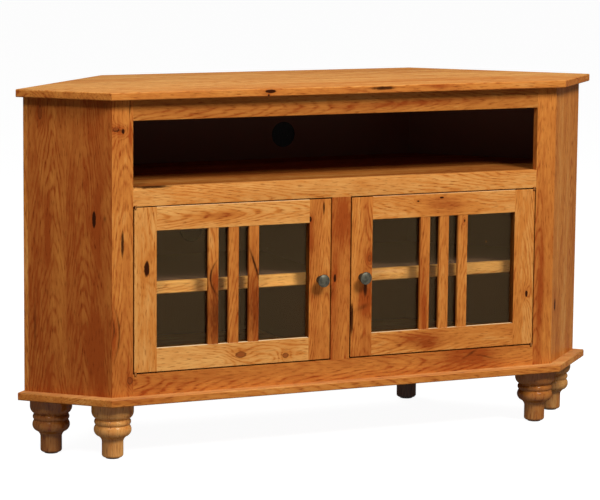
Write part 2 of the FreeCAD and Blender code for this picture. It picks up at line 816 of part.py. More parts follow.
def knob_profile():
    """Half of a mushroom knob: rose on the door, waisted neck, rim and low dome."""
    neck_front = "knob_projection - knob_rim_height - knob_dome_height"
    waist = "knob_rose_height + knob_neck_height"
    return [
        ("0", "0"),
        ("knob_rose_radius", "0"),
        ("knob_rose_radius", "-knob_rose_edge", "-knob_rose_swell"),
        ("knob_neck_radius", f"-({waist})", "knob_neck_cove"),
        ("knob_radius", f"-({neck_front})", "-knob_rim_swell"),
        ("knob_radius", f"-({neck_front} + knob_rim_height)", "-knob_dome_swell"),
        ("knob_tip_radius", "-knob_projection"),
        ("0", "-knob_projection"),
    ]


def knob(hand, side):
    """A turned metal knob, and the screw that holds it through the stile."""
    length = "door_thickness + knob_screw_grip"
    shank = rod(f"{hand}_knob_shank", "knob_screw_radius", length)
    head = rod(f"{hand}_knob_screw_head", "knob_screw_head_radius", "knob_screw_head_height")
    backwards = FreeCAD.Vector(1, 0, 0)
    for piece, y in ((shank, "(-knob_screw_grip)"), (head, "door_thickness")):
        place(turn(piece, backwards, -90), on(side, "knob_x"), y, "knob_z")
    screw = keep(f"{hand}_knob_screw", fuse(f"{hand}_knob_screw", shank, head))
    blank = place(new_body(f"{hand}_knob_blank"), on(side, "knob_x"), "0", "knob_z")
    revolve(blank, f"{hand}_knob_turning", "plan", knob_profile())
    cut(f"{hand}_knob", blank, screw)
    return screw


def catch(hand, side):
    """A magnetic catch on the cupboard floor, with sloped shoulders."""
    body = new_body(f"{hand}_catch")
    half, low, high = "catch_width / 2", "floor_top", "floor_top + catch_height"
    corners = [
        (f"knob_x - {half}", low),
        (f"knob_x + {half}", low),
        (f"knob_x + {half}", f"{high} - catch_shoulder"),
        (f"knob_x + {half} - catch_shoulder", high),
        (f"knob_x - {half} + catch_shoulder", high),
        (f"knob_x - {half}", f"{high} - catch_shoulder"),
    ]
    pad(body, f"{hand}_catch_case", "front", flipped(corners, side),
        "door_thickness + strike_thickness + catch_gap", "catch_depth")
    return body


def strike(hand, side):
    """The steel plate on the back of the door that meets the catch."""
    plate = keep(f"{hand}_strike", new_body(f"{hand}_strike"))
    corners = rectangle("knob_x - strike_width / 2", "knob_x + strike_width / 2",
                        "door_bottom", "door_bottom + strike_height")
    pad(plate, f"{hand}_strike_plate", "front", flipped(corners, side), "door_thickness", "strike_thickness")


def door(hand, side, hinge_leaves):
    slats = [door_slat(f"{hand}_door_slat_{count + 2}", side, count) for count in (-1, 0, 1)]
    rails = [
        door_rail(f"{hand}_door_top_rail", side, "sight_top", "door_top",
                  "door_top - door_tenon_setback - door_tenon_width", "sight_top", slats),
        door_rail(f"{hand}_door_bottom_rail", side, "door_bottom", "sight_bottom",
                  "door_bottom + door_tenon_setback", "sight_bottom - rabbet_width", slats),
    ]
    seats = hinge_set(f"{hand}_door_hinge_leaves", hinge_leaves)
    door_stile(f"{hand}_door_hinge_stile", side, "sight_outer", "door_outer", "sight_outer", *rails, seats)
    screw = knob(hand, side)
    door_stile(f"{hand}_door_knob_stile", side, "door_inner", "sight_inner",
               "sight_inner - rabbet_width", *rails, screw)
    door_glass(hand, side)
    glass_stops(hand, side)
    strike(hand, side)


def cabinet():
    foot_bolts = feet()
    base = overhanging_board(
        "base_board_blank", "base_overhang", "base_wall_overhang", "base_bottom", "base_thickness")
    cut("base_board", base, foot_bolts)
    top = overhanging_board("top_panel", "top_overhang", "wall_overhang", "carcass_top", "top_thickness")
    keep("top_panel", top)
    levels = [level_panel("bay_deck", "deck_top"), level_panel("cupboard_floor", "floor_top")]
    pin_holes = shelf_pins()
    center_divider(pin_holes["divider"])
    center_back_panel()
    top_cleats()
    hinges = {hand: hinge_parts(hand, side) for hand, side in SIDES.items()}
    frame_leaves = [leaf for leaves, pins, door_leaves in hinges.values() for leaf in leaves]
    all_pins = [pin for leaves, pins, door_leaves in hinges.values() for pin in pins]
    seats = hinge_set("frame_hinge_leaves", frame_leaves)
    keep("hinge_pins", group("hinge_pins", all_pins))
    upright = center_face_stile()
    rails = [
        face_rail("top_face_rail", "bay_head", "carcass_top"),
        face_rail("middle_face_rail", "door_head", "deck_top", upright, seats),
        face_rail("bottom_face_rail", "base_top", "floor_top", upright, seats),
    ]
    keep("door_catches", group("door_catches", [catch(hand, side) for hand, side in SIDES.items()]))
    for hand, side in SIDES.items():
        face_stile(hand, side, rails)
        side_panel(hand, side, levels, pin_holes[f"{hand}_side"])
        wall_panel(hand, side, pin_holes[f"{hand}_wall"])
        shelf(hand, side)
        door(hand, side, hinges[hand][2])


cabinet()
doc.recompute()

failed = [thing.Label for thing in doc.Objects if {"Invalid", "Error"} & set(thing.State)]
failed += [piece.Label for piece in pieces if piece.Shape.isNull() or not piece.Shape.isValid()]
if failed:
    raise RuntimeError("not built: " + ", ".join(failed))

os.makedirs("parts", exist_ok=True)
for piece in pieces:
    piece.Shape.exportStep(f"parts/{piece.Label}.step")
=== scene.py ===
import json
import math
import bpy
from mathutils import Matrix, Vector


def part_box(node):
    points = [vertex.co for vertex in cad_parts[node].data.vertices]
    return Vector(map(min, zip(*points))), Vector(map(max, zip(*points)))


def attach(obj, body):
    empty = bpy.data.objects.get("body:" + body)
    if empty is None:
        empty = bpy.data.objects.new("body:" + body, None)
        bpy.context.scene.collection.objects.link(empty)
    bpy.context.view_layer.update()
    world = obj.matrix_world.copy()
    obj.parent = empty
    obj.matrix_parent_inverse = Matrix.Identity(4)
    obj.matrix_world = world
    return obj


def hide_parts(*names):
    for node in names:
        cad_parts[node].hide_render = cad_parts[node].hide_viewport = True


bl_info = {
    "name": "Corner TV cabinet",
    "version": (1, 0, 0),
    "blender": (4, 5, 0),
    "location": "3D View > Sidebar > Cabinet",
    "description": "Dresses the corner cabinet's solids in rustic hickory, glass and pewter",
    "category": "Object",
}

from collections import namedtuple
from functools import partial

import bmesh
import bpy
from bpy.props import FloatProperty, FloatVectorProperty, IntProperty, PointerProperty
from mathutils import Euler, Matrix, Vector
from mathutils.bvhtree import BVHTree

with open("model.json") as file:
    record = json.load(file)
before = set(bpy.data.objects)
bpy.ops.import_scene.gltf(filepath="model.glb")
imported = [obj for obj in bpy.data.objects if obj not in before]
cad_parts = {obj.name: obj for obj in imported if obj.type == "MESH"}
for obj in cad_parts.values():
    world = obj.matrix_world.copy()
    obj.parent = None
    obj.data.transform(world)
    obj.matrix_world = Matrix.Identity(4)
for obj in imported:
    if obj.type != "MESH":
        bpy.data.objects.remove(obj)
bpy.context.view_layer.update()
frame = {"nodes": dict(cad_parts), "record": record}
NODES = frame["nodes"]
BODY_OF = {node: body for body, nodes in frame["record"]["behaviour"]["bodies"].items() for node in nodes}
SLOT_OF = {part["node"]: part["material_slot"] for part in frame["record"]["subparts"]}

# Places that the finish is laid out from, in metres, as the solids have them
FRONT_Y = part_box("top_face_rail")[0].y
LEFT_CORNER_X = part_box("left_face_stile")[0].x
RIGHT_CORNER_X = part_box("right_face_stile")[1].x
BACK_INNER_Y, BACK_OUTER_Y = (corner.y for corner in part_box("center_back_panel"))
BACK_HALF_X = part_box("center_back_panel")[1].x
WALL_SIDE_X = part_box("right_wall_panel")[1].x
PANEL_DEPTH = BACK_OUTER_Y - BACK_INNER_Y
SLANT = math.sqrt(0.5)
X, Y, Z = Vector((1, 0, 0)), Vector((0, 1, 0)), Vector((0, 0, 1))
RIGHT_BACK, LEFT_BACK = Vector((SLANT, SLANT, 0)), Vector((-SLANT, SLANT, 0))
HANDS = ("left", "right")

MERGE_DISTANCE = 1e-5
CUT_REACH = 1e-6
FLAT_ANGLE = math.radians(0.5)
SHARP_ANGLE = math.radians(20)
CORNER_ANGLE = math.radians(35)

# An edge is eased where it is long enough and bare: probes start a little inside its faces and above them
SHORTEST_EDGE = 0.012
PROBE_INSIDE, PROBE_ABOVE, PROBE_REACH = 0.0008, 0.0005, 0.0007
PROBE_SHARES = (0.08, 0.22, 0.36, 0.5, 0.64, 0.78, 0.92)
COVERED_SHARE = 0.3
EASE_SEGMENTS = 2


def screen(red, green, blue):
    """A screen colour, 0 to 255, as the linear one that shaders use."""
    return tuple(
        part / 12.92 if part <= 0.04045 else ((part + 0.055) / 1.055) ** 2.4
        for part in (red / 255, green / 255, blue / 255)
    )


def colour(name, description, red, green, blue):
    return FloatVectorProperty(
        name=name, description=description, subtype="COLOR", min=0, max=1, default=screen(red, green, blue)
    )


def length(name, description, metres):
    return FloatProperty(name=name, description=description, unit="LENGTH", precision=4, default=metres)


def share(name, description, amount):
    return FloatProperty(name=name, description=description, subtype="FACTOR", min=0, max=1, default=amount)


def angle(name, description, degrees):
    return FloatProperty(name=name, description=description, subtype="ANGLE", default=math.radians(degrees))


def number(name, description, amount):
    return FloatProperty(name=name, description=description, default=amount)


class WoodSettings(bpy.types.PropertyGroup):
    """Colours and grain of the hickory boards."""

    sapwood: colour("Sapwood", "Palest wood, in the sapwood stripes", 228, 166, 92)
    amber: colour("Amber", "Middle tone of a board", 203, 125, 54)
    heartwood: colour("Heartwood", "Darkest plain wood", 158, 73, 26)
    # Umber also paints the shade on the boards' narrow sides
    umber: colour("Umber", "Knots, bark pockets and mineral streaks", 54, 22, 6)
    # Painted highlight: the pale colour laid on the upper arrises, standing in for the lamps' glint on the
    # lacquer
    arris_highlight: colour("Rubbed wood", "Arrises that were sanded until pale", 252, 226, 178)
    knot_brown: colour("Knot brown", "Tight knots that are still sound", 140, 68, 28)
    # Painted shade: the inner faces are given this dark colour for the shade inside the cabinet
    stain: colour("Inner stain", "Dark stain on the faces inside the cabinet", 116, 86, 70)
    ring_spacing: length("Ring spacing", "Distance between growth rings", 0.008)
    heart_depth: length("Heart depth", "How far the heart of the tree lies behind a board's face", 0.010)
    taper: share("Taper", "How fast the tree narrows, which draws the rings into arches", 0.16)
    pore_depth: length("Pore depth", "How deep the open pores are under the lacquer", 0.0003)
    roughness: share("Roughness", "Roughness of the satin lacquer", 0.40)
    sheen: share("Sheen", "How much of the room the lacquer mirrors", 0.05)
    edge_ease: length("Edge ease", "Radius that the arrises of the boards are eased to", 0.0014)


class HardwareSettings(bpy.types.PropertyGroup):
    """Metal, plastic and glass."""

    pewter: colour("Pewter", "Knobs", 84, 81, 69)
    brass: colour("Brass", "Knife hinges and shelf pins, darkened with age", 150, 98, 50)
    steel: colour("Steel", "Screws, bolts, nuts and strike plates", 178, 178, 174)
    catch_brown: colour("Catch brown", "Plastic of the door catches", 72, 48, 34)
    glide_black: colour("Glide black", "Plastic of the foot glides", 26, 25, 24)
    glass_tint: colour("Glass tint", "Light that comes through a pane's surface", 250, 249, 244)
    glass_mirror: colour("Glass mirror", "Room that a pane's surface mirrors", 197, 163, 118)
    screw_radius: length("Screw radius", "Radius of the screw heads on the back", 0.0038)
    plate_screw_radius: length("Plate screw radius", "Radius of the strike plates' screw heads", 0.0026)
    slat_round: length("Slat rounding", "Radius on the long edges of the slats", 0.0016)
    bristle_count: IntProperty(
        name="Bristles", description="Bristles along each edge of a cable brush", default=200)
    bristle_radius: length("Bristle radius", "Radius of a bristle at its root", 0.0008)


class StageSettings(bpy.types.PropertyGroup):
    """Camera, lamps and floor."""

    camera_place: FloatVectorProperty(
        name="Camera place", description="Where the camera stands", subtype="TRANSLATION", unit="LENGTH",
        default=(-2.7682, -5.9049, 1.3579))
    camera_yaw: angle("Camera yaw", "Turn to the right of straight on", 25.104)
    camera_pitch: angle("Camera pitch", "Tilt below level", 8.054)
    camera_roll: angle("Camera roll", "Turn about the line of sight", 0.546)
    lens: number("Lens", "Focal length in millimetres", 161.06)
    key_watts: number("Key lamp", "Power of the key lamp in watts", 235)
    fill_watts: number("Fill lamp", "Power of the fill lamp in watts", 62)
    back_watts: number("Back lamp", "Power of the lamp behind and above in watts", 33)
    surround: number("Surround", "Strength of the soft light all round", 0.12)
    floor_grey: share("Floor", "How much light the floor throws back", 0.25)
    floor_glow: share("Floor glow", "White that sight lines add to the floor", 0.95)


# Shader nodes

class Value:
    """A socket whose number or colour varies over a surface, with the arithmetic that the finishes use."""

    def __init__(self, surface, socket):
        self.surface, self.socket = surface, socket

    def math(self, operation, *operands):
        return self.surface.add("Math", {"operation": operation}, dict(enumerate(operands)))

    def __add__(self, other):
        return self.math("ADD", self, other)

    def __sub__(self, other):
        return self.math("SUBTRACT", self, other)

    def __rsub__(self, other):
        return self.math("SUBTRACT", other, self)

    def __mul__(self, other):
        return self.math("MULTIPLY", self, other)

    def __truediv__(self, other):
        return self.math("DIVIDE", self, other)

    def __pow__(self, other):
        return self.math("POWER", self, other)

    __radd__, __rmul__ = __add__, __mul__

    def sine(self):
        return self.math("SINE", self)

    def floor(self):
        return self.math("FLOOR", self)

    def root(self):
        return self.math("SQRT", self)

    def fade(self):
        """One where the value is zero, falling off smoothly as it grows."""
        return self.math("EXPONENT", self * -1)

    def ease(self, low, high, start=0.0, end=1.0):
        """The value from low to high, as a smooth step from start to end."""
        settings = {"interpolation_type": "SMOOTHSTEP"}
        return self.surface.add("MapRange", settings, {"Value": self, 1: low, 2: high, 3: start, 4: end})


class Surface:
    """One material, or the world round the stage, and the nodes in it."""

    def __init__(self, name, library=None):
        self.block = (bpy.data.materials if library is None else library).new(name)
        self.block.use_nodes = True
        self.nodes, self.links = self.block.node_tree.nodes, self.block.node_tree.links
        self.nodes.clear()

    def add(self, kind, settings, sockets, out=0):
        """A node of a kind, with its settings, then the values or links of its sockets."""
        node = self.nodes.new(f"ShaderNode{kind}")
        for name, setting in settings.items():
            if name == "stops":
                stops = node.color_ramp.elements
                while len(stops) < len(setting):
                    stops.new(0.5)
                for stop, (position, tint) in zip(stops, setting):
                    stop.position, stop.color = position, (*tint, 1)
            else:
                setattr(node, name, setting)
        for name, value in sockets.items():
            socket = node.inputs[name]
            if isinstance(value, Value):
                self.links.new(value.socket, socket)
            elif getattr(socket, "type", "") == "RGBA" and len(value) == 3:
                socket.default_value = (*value, 1)
            else:
                socket.default_value = value
        return Value(self, node.outputs[out])

    def mix(self, first, second, factor, blend="MIX"):
        settings = {"data_type": "RGBA", "blend_type": blend}
        return self.add("Mix", settings, {0: factor, 6: first, 7: second}, out=2)

    def place(self):
        return self.add("TexCoord", {}, {}, out=3)

    def along(self, place, direction, start=0.0):
        """How far a place lies along a direction, counted from a start."""
        reach = self.add("VectorMath", {"operation": "DOT_PRODUCT"}, {0: place, 1: direction}, out=1)
        return reach - start

    def cloud(self, place, scale, detail, roughness=0.5):
        sockets = {"Vector": place, "Scale": scale, "Detail": detail, "Roughness": roughness}
        return self.add("TexNoise", {}, sockets)

    def noise(self, x, y, z, detail=2.0, roughness=0.5):
        return self.cloud(self.add("CombineXYZ", {}, {0: x, 1: y, 2: z}), 1.0, detail, roughness)

    def bump(self, strength, distance, height):
        return self.add("Bump", {}, {"Strength": strength, "Distance": distance, "Height": height})

    def slope(self):
        """Zero where a face is seen straight on, rising to one at its outline."""
        return self.add("LayerWeight", {}, {"Blend": 0.5}, out=1)

    def finish(self, kind, sockets, end="OutputMaterial"):
        shader = self.add(kind, {}, sockets)
        output = self.nodes.new(f"ShaderNode{end}")
        self.links.new(shader.socket, output.inputs["Surface"])
        return self.block


# Wood

Grain = namedtuple("Grain", "along across deep origin")
FRONT = Vector((0, FRONT_Y, 0))
GRAINS = {
    "upright": Grain(Z, X, Y, FRONT),
    "level": Grain(X, Z, Y, FRONT),
    "flat": Grain(X, Y, Z, FRONT),
    "left_side": Grain(Z, LEFT_BACK, RIGHT_BACK, Vector((LEFT_CORNER_X, FRONT_Y, 0))),
    "right_side": Grain(Z, RIGHT_BACK, LEFT_BACK, Vector((RIGHT_CORNER_X, FRONT_Y, 0))),
    "left_wall": Grain(Z, RIGHT_BACK, -LEFT_BACK, Vector((-BACK_HALF_X, BACK_OUTER_Y, 0))),
    "right_wall": Grain(Z, -LEFT_BACK, -RIGHT_BACK, Vector((BACK_HALF_X, BACK_OUTER_Y, 0))),
    "back": Grain(Z, X, -Y, Vector((0, BACK_OUTER_Y, 0))),
}

# A mark in the wood: its kind, its middle along and across the grain, half its length and width, how far its
# upper end leans across the grain, how far both ends bend, how dark smoke is, and its middle in the board's
# depth where it doesn't go right through
Mark = namedtuple("Mark", "kind along across long wide lean bend depth level", defaults=(0.0, 0.0, 0.48, 0.0))
KINDS = ("knot", "streak", "flame", "eye", "smoke")
knot, streak, flame, eye, smoke = (partial(Mark, kind) for kind in KINDS)

# A board: the way its grain runs, how dark it is, and its marks. Staves are the width of glued strips,
# stain is the depth where the painted shade of the inside starts, edge is how much darker its upright
# edges are painted as shade, arris is how far its upper arrises are paled as a painted highlight, jamb is
# how far its narrow sides are darkened to umber as painted shade, and glaze scales its colour: below one it
# paints shade, above one it paints light.
Board = namedtuple("Board", "grain tone marks staves stain edge arris jamb glaze",
                   defaults=((), 0.0, None, 0.0, 0.0, 0.0, 1.0))
# Depths behind a side's or back's face where the painted shade of the inside starts
SIDE_SHADE_DEPTH, BACK_SHADE_DEPTH = 0.0189, 0.0119

BOARDS = {
    "left_face_stile": Board("upright", 0.12, (
        eye(0.7705, -0.5725, 0.005, 0.008), smoke(0.768, -0.564, 0.003, 0.016),
        knot(0.7655, -0.555, 0.006, 0.004), streak(0.506, -0.5564, 0.036, 0.0042),
        flame(0.3, -0.58, 0.07, 0.012),
        smoke(0.298, -0.564, 0.066, 0.0026, 0.0, -0.014, depth=0.62),
        smoke(0.31, -0.577, 0.03, 0.003, 0.0, -0.006, depth=0.6),
        smoke(0.818, -0.5385, 0.022, 0.0018, 0.001, depth=0.75), flame(0.76, -0.537, 0.03, 0.004),
        eye(0.1881, -0.538, 0.009, 0.007))),
    "right_face_stile": Board("upright", 0.1, (flame(0.35, 0.548, 0.16, 0.008),)),
    "center_face_stile": Board("upright", 0.23, (
        knot(0.3983, -0.0156, 0.011, 0.004), flame(0.54, 0.008, 0.06, 0.02))),
    # Painted shade: the top face rail is darkened for the shadow under the top's overhang
    "top_face_rail": Board("level", 0.02, (flame(0.15, 0.81, 0.16, 0.008),), glaze=0.8),
    "middle_face_rail": Board("level", -0.18, (streak(-0.485, 0.6365, 0.055, 0.005),)),
    "bottom_face_rail": Board("level", 0.1, (
        flame(0.3623, 0.18, 0.06, 0.03), smoke(0.356, 0.192, 0.026, 0.004, 0.014),
        smoke(0.395, 0.182, 0.03, 0.003, -0.008)), jamb=0.7),
    "left_door_hinge_stile": Board("upright", -0.12, (knot(0.4466, -0.4968, 0.02, 0.0075),), jamb=0.75),
    "left_door_knob_stile": Board("upright", 0.12, (
        knot(0.5425, -0.0815, 0.007, 0.004), streak(0.5678, -0.0464, 0.018, 0.0028),
        flame(0.4955, -0.08, 0.04, 0.009)), jamb=0.75),
    "left_door_top_rail": Board("level", -0.2, (flame(-0.3114, 0.5633, 0.055, 0.01),), arris=0.5),
    "left_door_bottom_rail": Board("level", -0.38, (
        eye(-0.2589, 0.2302, 0.014, 0.0075), eye(-0.1432, 0.2206, 0.008, 0.006)), arris=0.85),
    "right_door_knob_stile": Board("upright", 0.14, (
        eye(0.441, 0.0759, 0.008, 0.0045), flame(0.345, 0.0676, 0.045, 0.016),
        smoke(0.325, 0.06, 0.01, 0.016, 0.012),
        # The dark streak just under the right knob is partly the wood's own and partly the knob's painted
        # shadow
        streak(0.369, 0.0655, 0.022, 0.006), streak(0.298, 0.03, 0.046, 0.005)), jamb=0.75),
    "right_door_hinge_stile": Board("upright", -0.05, (knot(0.3304, 0.5086, 0.009, 0.004),), jamb=0.75),
    "right_door_top_rail": Board("level", -0.14, (
        knot(0.2047, 0.5731, 0.004, 0.0022), knot(0.2687, 0.5791, 0.006, 0.0026),
        flame(0.2831, 0.558, 0.06, 0.02)), arris=0.4),
    "right_door_bottom_rail": Board("level", -0.03, (
        flame(0.2374, 0.2202, 0.02, 0.008), flame(0.22, 0.235, 0.07, 0.014),
        smoke(0.225, 0.226, 0.05, 0.01, depth=0.26)), arris=0.7),
    "top_panel": Board("flat", -0.26, (
        knot(-0.198, -0.0255, 0.015, 0.0048, level=0.85),
        knot(-0.203, -0.0255, 0.0022, 0.004, level=0.8405),
        streak(0.093, -0.0255, 0.04, 0.005, level=0.85),
        flame(0.242, -0.0255, 0.025, 0.006, level=0.852)), 0.085, edge=0.32),
    "base_board": Board("flat", 0.0, (), 0.095, edge=0.11, arris=0.07),
    "left_side_panel": Board("left_side", 0.38, (
        eye(0.8028, 0.1799, 0.017, 0.0046), knot(0.5627, 0.0449, 0.022, 0.0052),
        smoke(0.5655, 0.0184, 0.009, 0.004), flame(0.516, 0.1621, 0.07, 0.006),
        smoke(0.3083, 0.1949, 0.06, 0.0035), flame(0.26, 0.045, 0.05, 0.02)), 0.112, SIDE_SHADE_DEPTH),
    "right_side_panel": Board("right_side", 0.09, (knot(0.294, 0.029, 0.016, 0.007),), 0.075, SIDE_SHADE_DEPTH),
    "left_wall_panel": Board("left_wall", 0.02, (), 0.0, BACK_SHADE_DEPTH),
    "right_wall_panel": Board("right_wall", 0.02, (), 0.0, BACK_SHADE_DEPTH),
    "center_back_panel": Board("back", 0.02, (), 0.0, BACK_SHADE_DEPTH),
    # Painted shade: the bay deck is darkened for the shade inside the open bay
    "bay_deck": Board("flat", 0.16, (), 0.11, glaze=0.62),
    "cupboard_floor": Board("flat", 0.1, (), 0.11),
    # Painted light: the left shelf nosing is brightened past its wood's colour, as if lit through the glass
    "left_shelf_nosing": Board("level", -0.44, glaze=1.3),
    "right_shelf_nosing": Board("level", -0.4, glaze=1.0),
}

SLAT_MARKS = {
    "left": (
        smoke(0.422, -0.3365, 0.036, 0.0026, 0.004, 0.013, depth=0.65),
        smoke(0.326, -0.324, 0.08, 0.022, depth=0.56), flame(0.416, -0.324, 0.02, 0.01),
        flame(0.326, -0.326, 0.08, 0.022), flame(0.34, -0.2245, 0.092, 0.024),
        smoke(0.446, -0.2255, 0.037, 0.0028, -0.0125, depth=0.75),
        smoke(0.34, -0.2245, 0.092, 0.024, depth=0.42)),
    "right": (flame(0.3, 0.226, 0.08, 0.01), knot(0.52, 0.333, 0.004, 0.002)),
}
SLAT_SEEDS = {"left": 31, "right": 36}

# How dark each foot is and how its glaze scales its colour: partly each blank's own tone, and partly painted
# shade on the feet that stand in shade, with the front left foot as the lit one
Blank = namedtuple("Blank", "tone glaze")
FOOT_BLANKS = {
    "front_left": Blank(-0.42, 1.0), "front_right": Blank(-0.04, 0.71), "side_left": Blank(0.02, 0.68),
    "side_right": Blank(-0.24, 0.78), "back_left": Blank(-0.10, 0.45), "back_right": Blank(-0.10, 0.45),
}
FOOT_SEED, FOOT_STAVE, FOOT_GLOSS = 51, 0.046, 5.5
STOP_SEED, STOP_BOARD = 61, Board("level", 0.05, glaze=0.35)

# Figure in the wood, as noise: cycles in a metre along and across the grain, a shift along it, and how fine
Layer = namedtuple("Layer", "along across shift detail roughness", defaults=(0.0, 2.0, 0.5))
LAYERS = {
    "wander": Layer(2.2, 13),
    "swirl": Layer(14, 50, detail=3.0),
    "clear": Layer(3, 22, 9.0),
    "broken": Layer(34, 170),
    "broad": Layer(1.7, 18, 4.0, 1.5),
    "mottle": Layer(17, 52, 7.0, 3.0, 0.6),
    "stripes": Layer(6, 150, detail=3.0, roughness=0.6),
    "pores": Layer(44, 330),
}
NOISE_MIDDLE = 0.5

# Shifts that set one board's figure, and one stave's, apart from the next
SEED_RUN, SEED_ASIDE, SEED_CHANCE, STAVE_RUN, STAVE_SPREAD = 3.17, 0.013, 1.7, 9.0, 0.24

# Rings that the grain strays by, how fast rings close up with depth, and how sharp late wood is
RING_WANDER, RING_SWIRL, RING_DEPTH, LATE_SHARPNESS = 7, 1.5, 0.7, 3.0

# Marks: how ragged they are, how fast soft ones fade, and the halo that bends the rings round a knot
RAGGED, SOFT_FALL, STREAK_DARK = 0.9, 0.8, 0.85
HALO_FALL, HALO_BEND, HALO_BLUSH = 0.16, 2.6, 0.55
EYE_RIM, EYE_RIM_SHARPNESS, EYE_RIM_DARK, EYE_SOUND = 0.75, 9, 0.5, 0.8

# Shade that each part of the figure adds, on a scale from sapwood at 0 to heartwood at 1
BROAD_SHADE, MOTTLE_SHADE, STRIPE_SHADE, BLUSH_SHADE, MIDDLE_SHADE = 0.75, 0.65, 0.46, 0.52, 0.425
AMBER_SHADE = 0.45
PORE_TINT = (0.52, 0.40, 0.32)
INNER_SHADE_EASE = 0.0002

# The lacquer: its roughness, and how fast a glossy one's mirror falls off towards an outline
LACQUER_ROUGHNESS, LACQUER_FALL = 0.25, 1.5


def marked(surface, board, along, across, deep):
    """How dark, how brown and how reddish a board's marks make a place, and how they bend its rings."""
    dark, sound, blush, bent = 0.0, 0.0, 0.0, 0.0
    ragged = surface.noise(along * 90, across * 300, deep * 90, detail=3.0) - NOISE_MIDDLE
    for mark in board.marks:
        far = (along - mark.along) / mark.long
        middle = across - mark.across
        if mark.lean or mark.bend:
            middle = middle - far * mark.lean - far * far * mark.bend
        wide = middle / mark.wide
        reach = far * far + wide * wide + ragged * RAGGED
        if mark.level:
            rise = (deep - mark.level) / mark.wide
            reach = rise * rise + reach
        if mark.kind == "flame":
            blush = (reach * SOFT_FALL).fade() + blush
        elif mark.kind == "smoke":
            dark = (reach * SOFT_FALL).fade() * mark.depth + dark
        elif mark.kind == "streak":
            dark = reach.ease(0.0, 1.5, STREAK_DARK, 0.0) + dark
        else:
            halo = (reach * HALO_FALL).fade()
            bent = halo * HALO_BEND + bent
            blush = halo * HALO_BLUSH + blush
            if mark.kind == "knot":
                dark = reach.ease(0.35, 1.25, 1.0, 0.0) + dark
            else:
                rim = reach - EYE_RIM
                sound = reach.ease(0.4, 1.5, EYE_SOUND, 0.0) + sound
                dark = (rim * rim * EYE_RIM_SHARPNESS).fade() * EYE_RIM_DARK + dark
    return dark, sound, blush, bent


def grown(wood, surface, board, seed, centre):
    """Nodes for a board's colour, roughness and relief, from its grain, staves and marks."""
    grain = GRAINS[board.grain]
    place = surface.place()
    along, across, deep = (
        surface.along(place, axis, grain.origin.dot(axis)) for axis in (grain.along, grain.across, grain.deep)
    )
    tone, start = board.tone, seed * SEED_RUN
    if board.staves:
        strip = ((across + seed * SEED_ASIDE) / board.staves).floor()
        settings = {"noise_dimensions": "1D"}
        chance = surface.add("TexWhiteNoise", settings, {"W": strip + seed * SEED_CHANCE})
        tone = chance * STAVE_SPREAD + (board.tone - STAVE_SPREAD / 2)
        start = chance * STAVE_RUN + seed * SEED_RUN
        centre = (strip + chance) * board.staves - seed * SEED_ASIDE
    normal = surface.add("TexCoord", {}, {}, out="Normal")
    face_up = surface.along(normal, Z)
    # Painted shade: faces that don't face up, such as the upright edges of the top and the base, are darkened
    if board.edge:
        tone = face_up.ease(0.2, 0.8, board.edge, 0.0) + tone
    run = along + start

    def figure(name):
        layer = LAYERS[name]
        return surface.noise(run * layer.along + layer.shift, across * layer.across, deep * layer.across,
                             layer.detail, layer.roughness)

    wander, swirl, broad, mottle, stripes = (
        figure(name) - NOISE_MIDDLE for name in ("wander", "swirl", "broad", "mottle", "stripes"))
    clear = figure("clear").ease(0.40, 0.66)
    broken = figure("broken").ease(0.36, 0.62)
    pores = figure("pores").ease(0.54, 0.68)
    dark, sound, blush, bent = marked(surface, board, along, across, deep)
    aside = across - centre
    heart = (aside * aside + wood.heart_depth ** 2).root() + deep * RING_DEPTH + along * wood.taper
    rings = heart / wood.ring_spacing + wander * RING_WANDER + swirl * RING_SWIRL + bent
    late = ((rings * (2 * math.pi)).sine() * 0.5 + 0.5) ** LATE_SHARPNESS
    lines = late * (broken * 0.7 + 0.3) * (clear * 0.38 + 0.07)
    shade = (broad * BROAD_SHADE + mottle * MOTTLE_SHADE + lines + stripes * STRIPE_SHADE
             + blush * BLUSH_SHADE + tone + MIDDLE_SHADE)
    stops = ((0.0, wood.sapwood), (AMBER_SHADE, wood.amber), (1.0, wood.heartwood))
    tint = surface.add("ValToRGB", {"stops": stops}, {"Fac": shade})
    tint = surface.mix(tint, PORE_TINT, pores * (late * 0.4 + 0.45), blend="MULTIPLY")
    roughness = pores * 0.16 + stripes * 0.10 + wood.roughness
    # Painted light and shade: the colour is scaled down for boards in shade and up for ones lit brighter than
    # their wood
    if board.glaze != 1.0:
        tint = surface.mix(tint, (board.glaze,) * 3, 1.0, blend="MULTIPLY")
    # Painted shade: the narrow sides of the board, in the gaps round the doors and frame, are darkened
    # towards umber
    if board.jamb:
        face_out = surface.along(normal, grain.deep)
        narrow = (face_out * face_out).ease(0.05, 0.6, board.jamb, 0.0)
        tint = surface.mix(tint, wood.umber, narrow)
    # Painted highlight: faces turned up are paled towards the highlight colour, most on the eased upper
    # arrises
    if board.arris:
        tint = surface.mix(tint, wood.arris_highlight, face_up.ease(0.25, 0.8, 0.0, board.arris))
    if isinstance(sound, Value):
        tint = surface.mix(tint, wood.knot_brown, sound)
    if isinstance(dark, Value):
        tint = surface.mix(tint, wood.umber, dark.ease(0.05, 0.95))
    # Painted shade: faces deep inside the side and back panels take the dark inner colour
    if board.stain:
        inside = deep.ease(board.stain - INNER_SHADE_EASE, board.stain)
        tint = surface.mix(tint, wood.stain, inside)
        roughness = inside * 0.45 + roughness
    relief = pores * -1.0 + late * -0.25
    return tint, roughness, relief


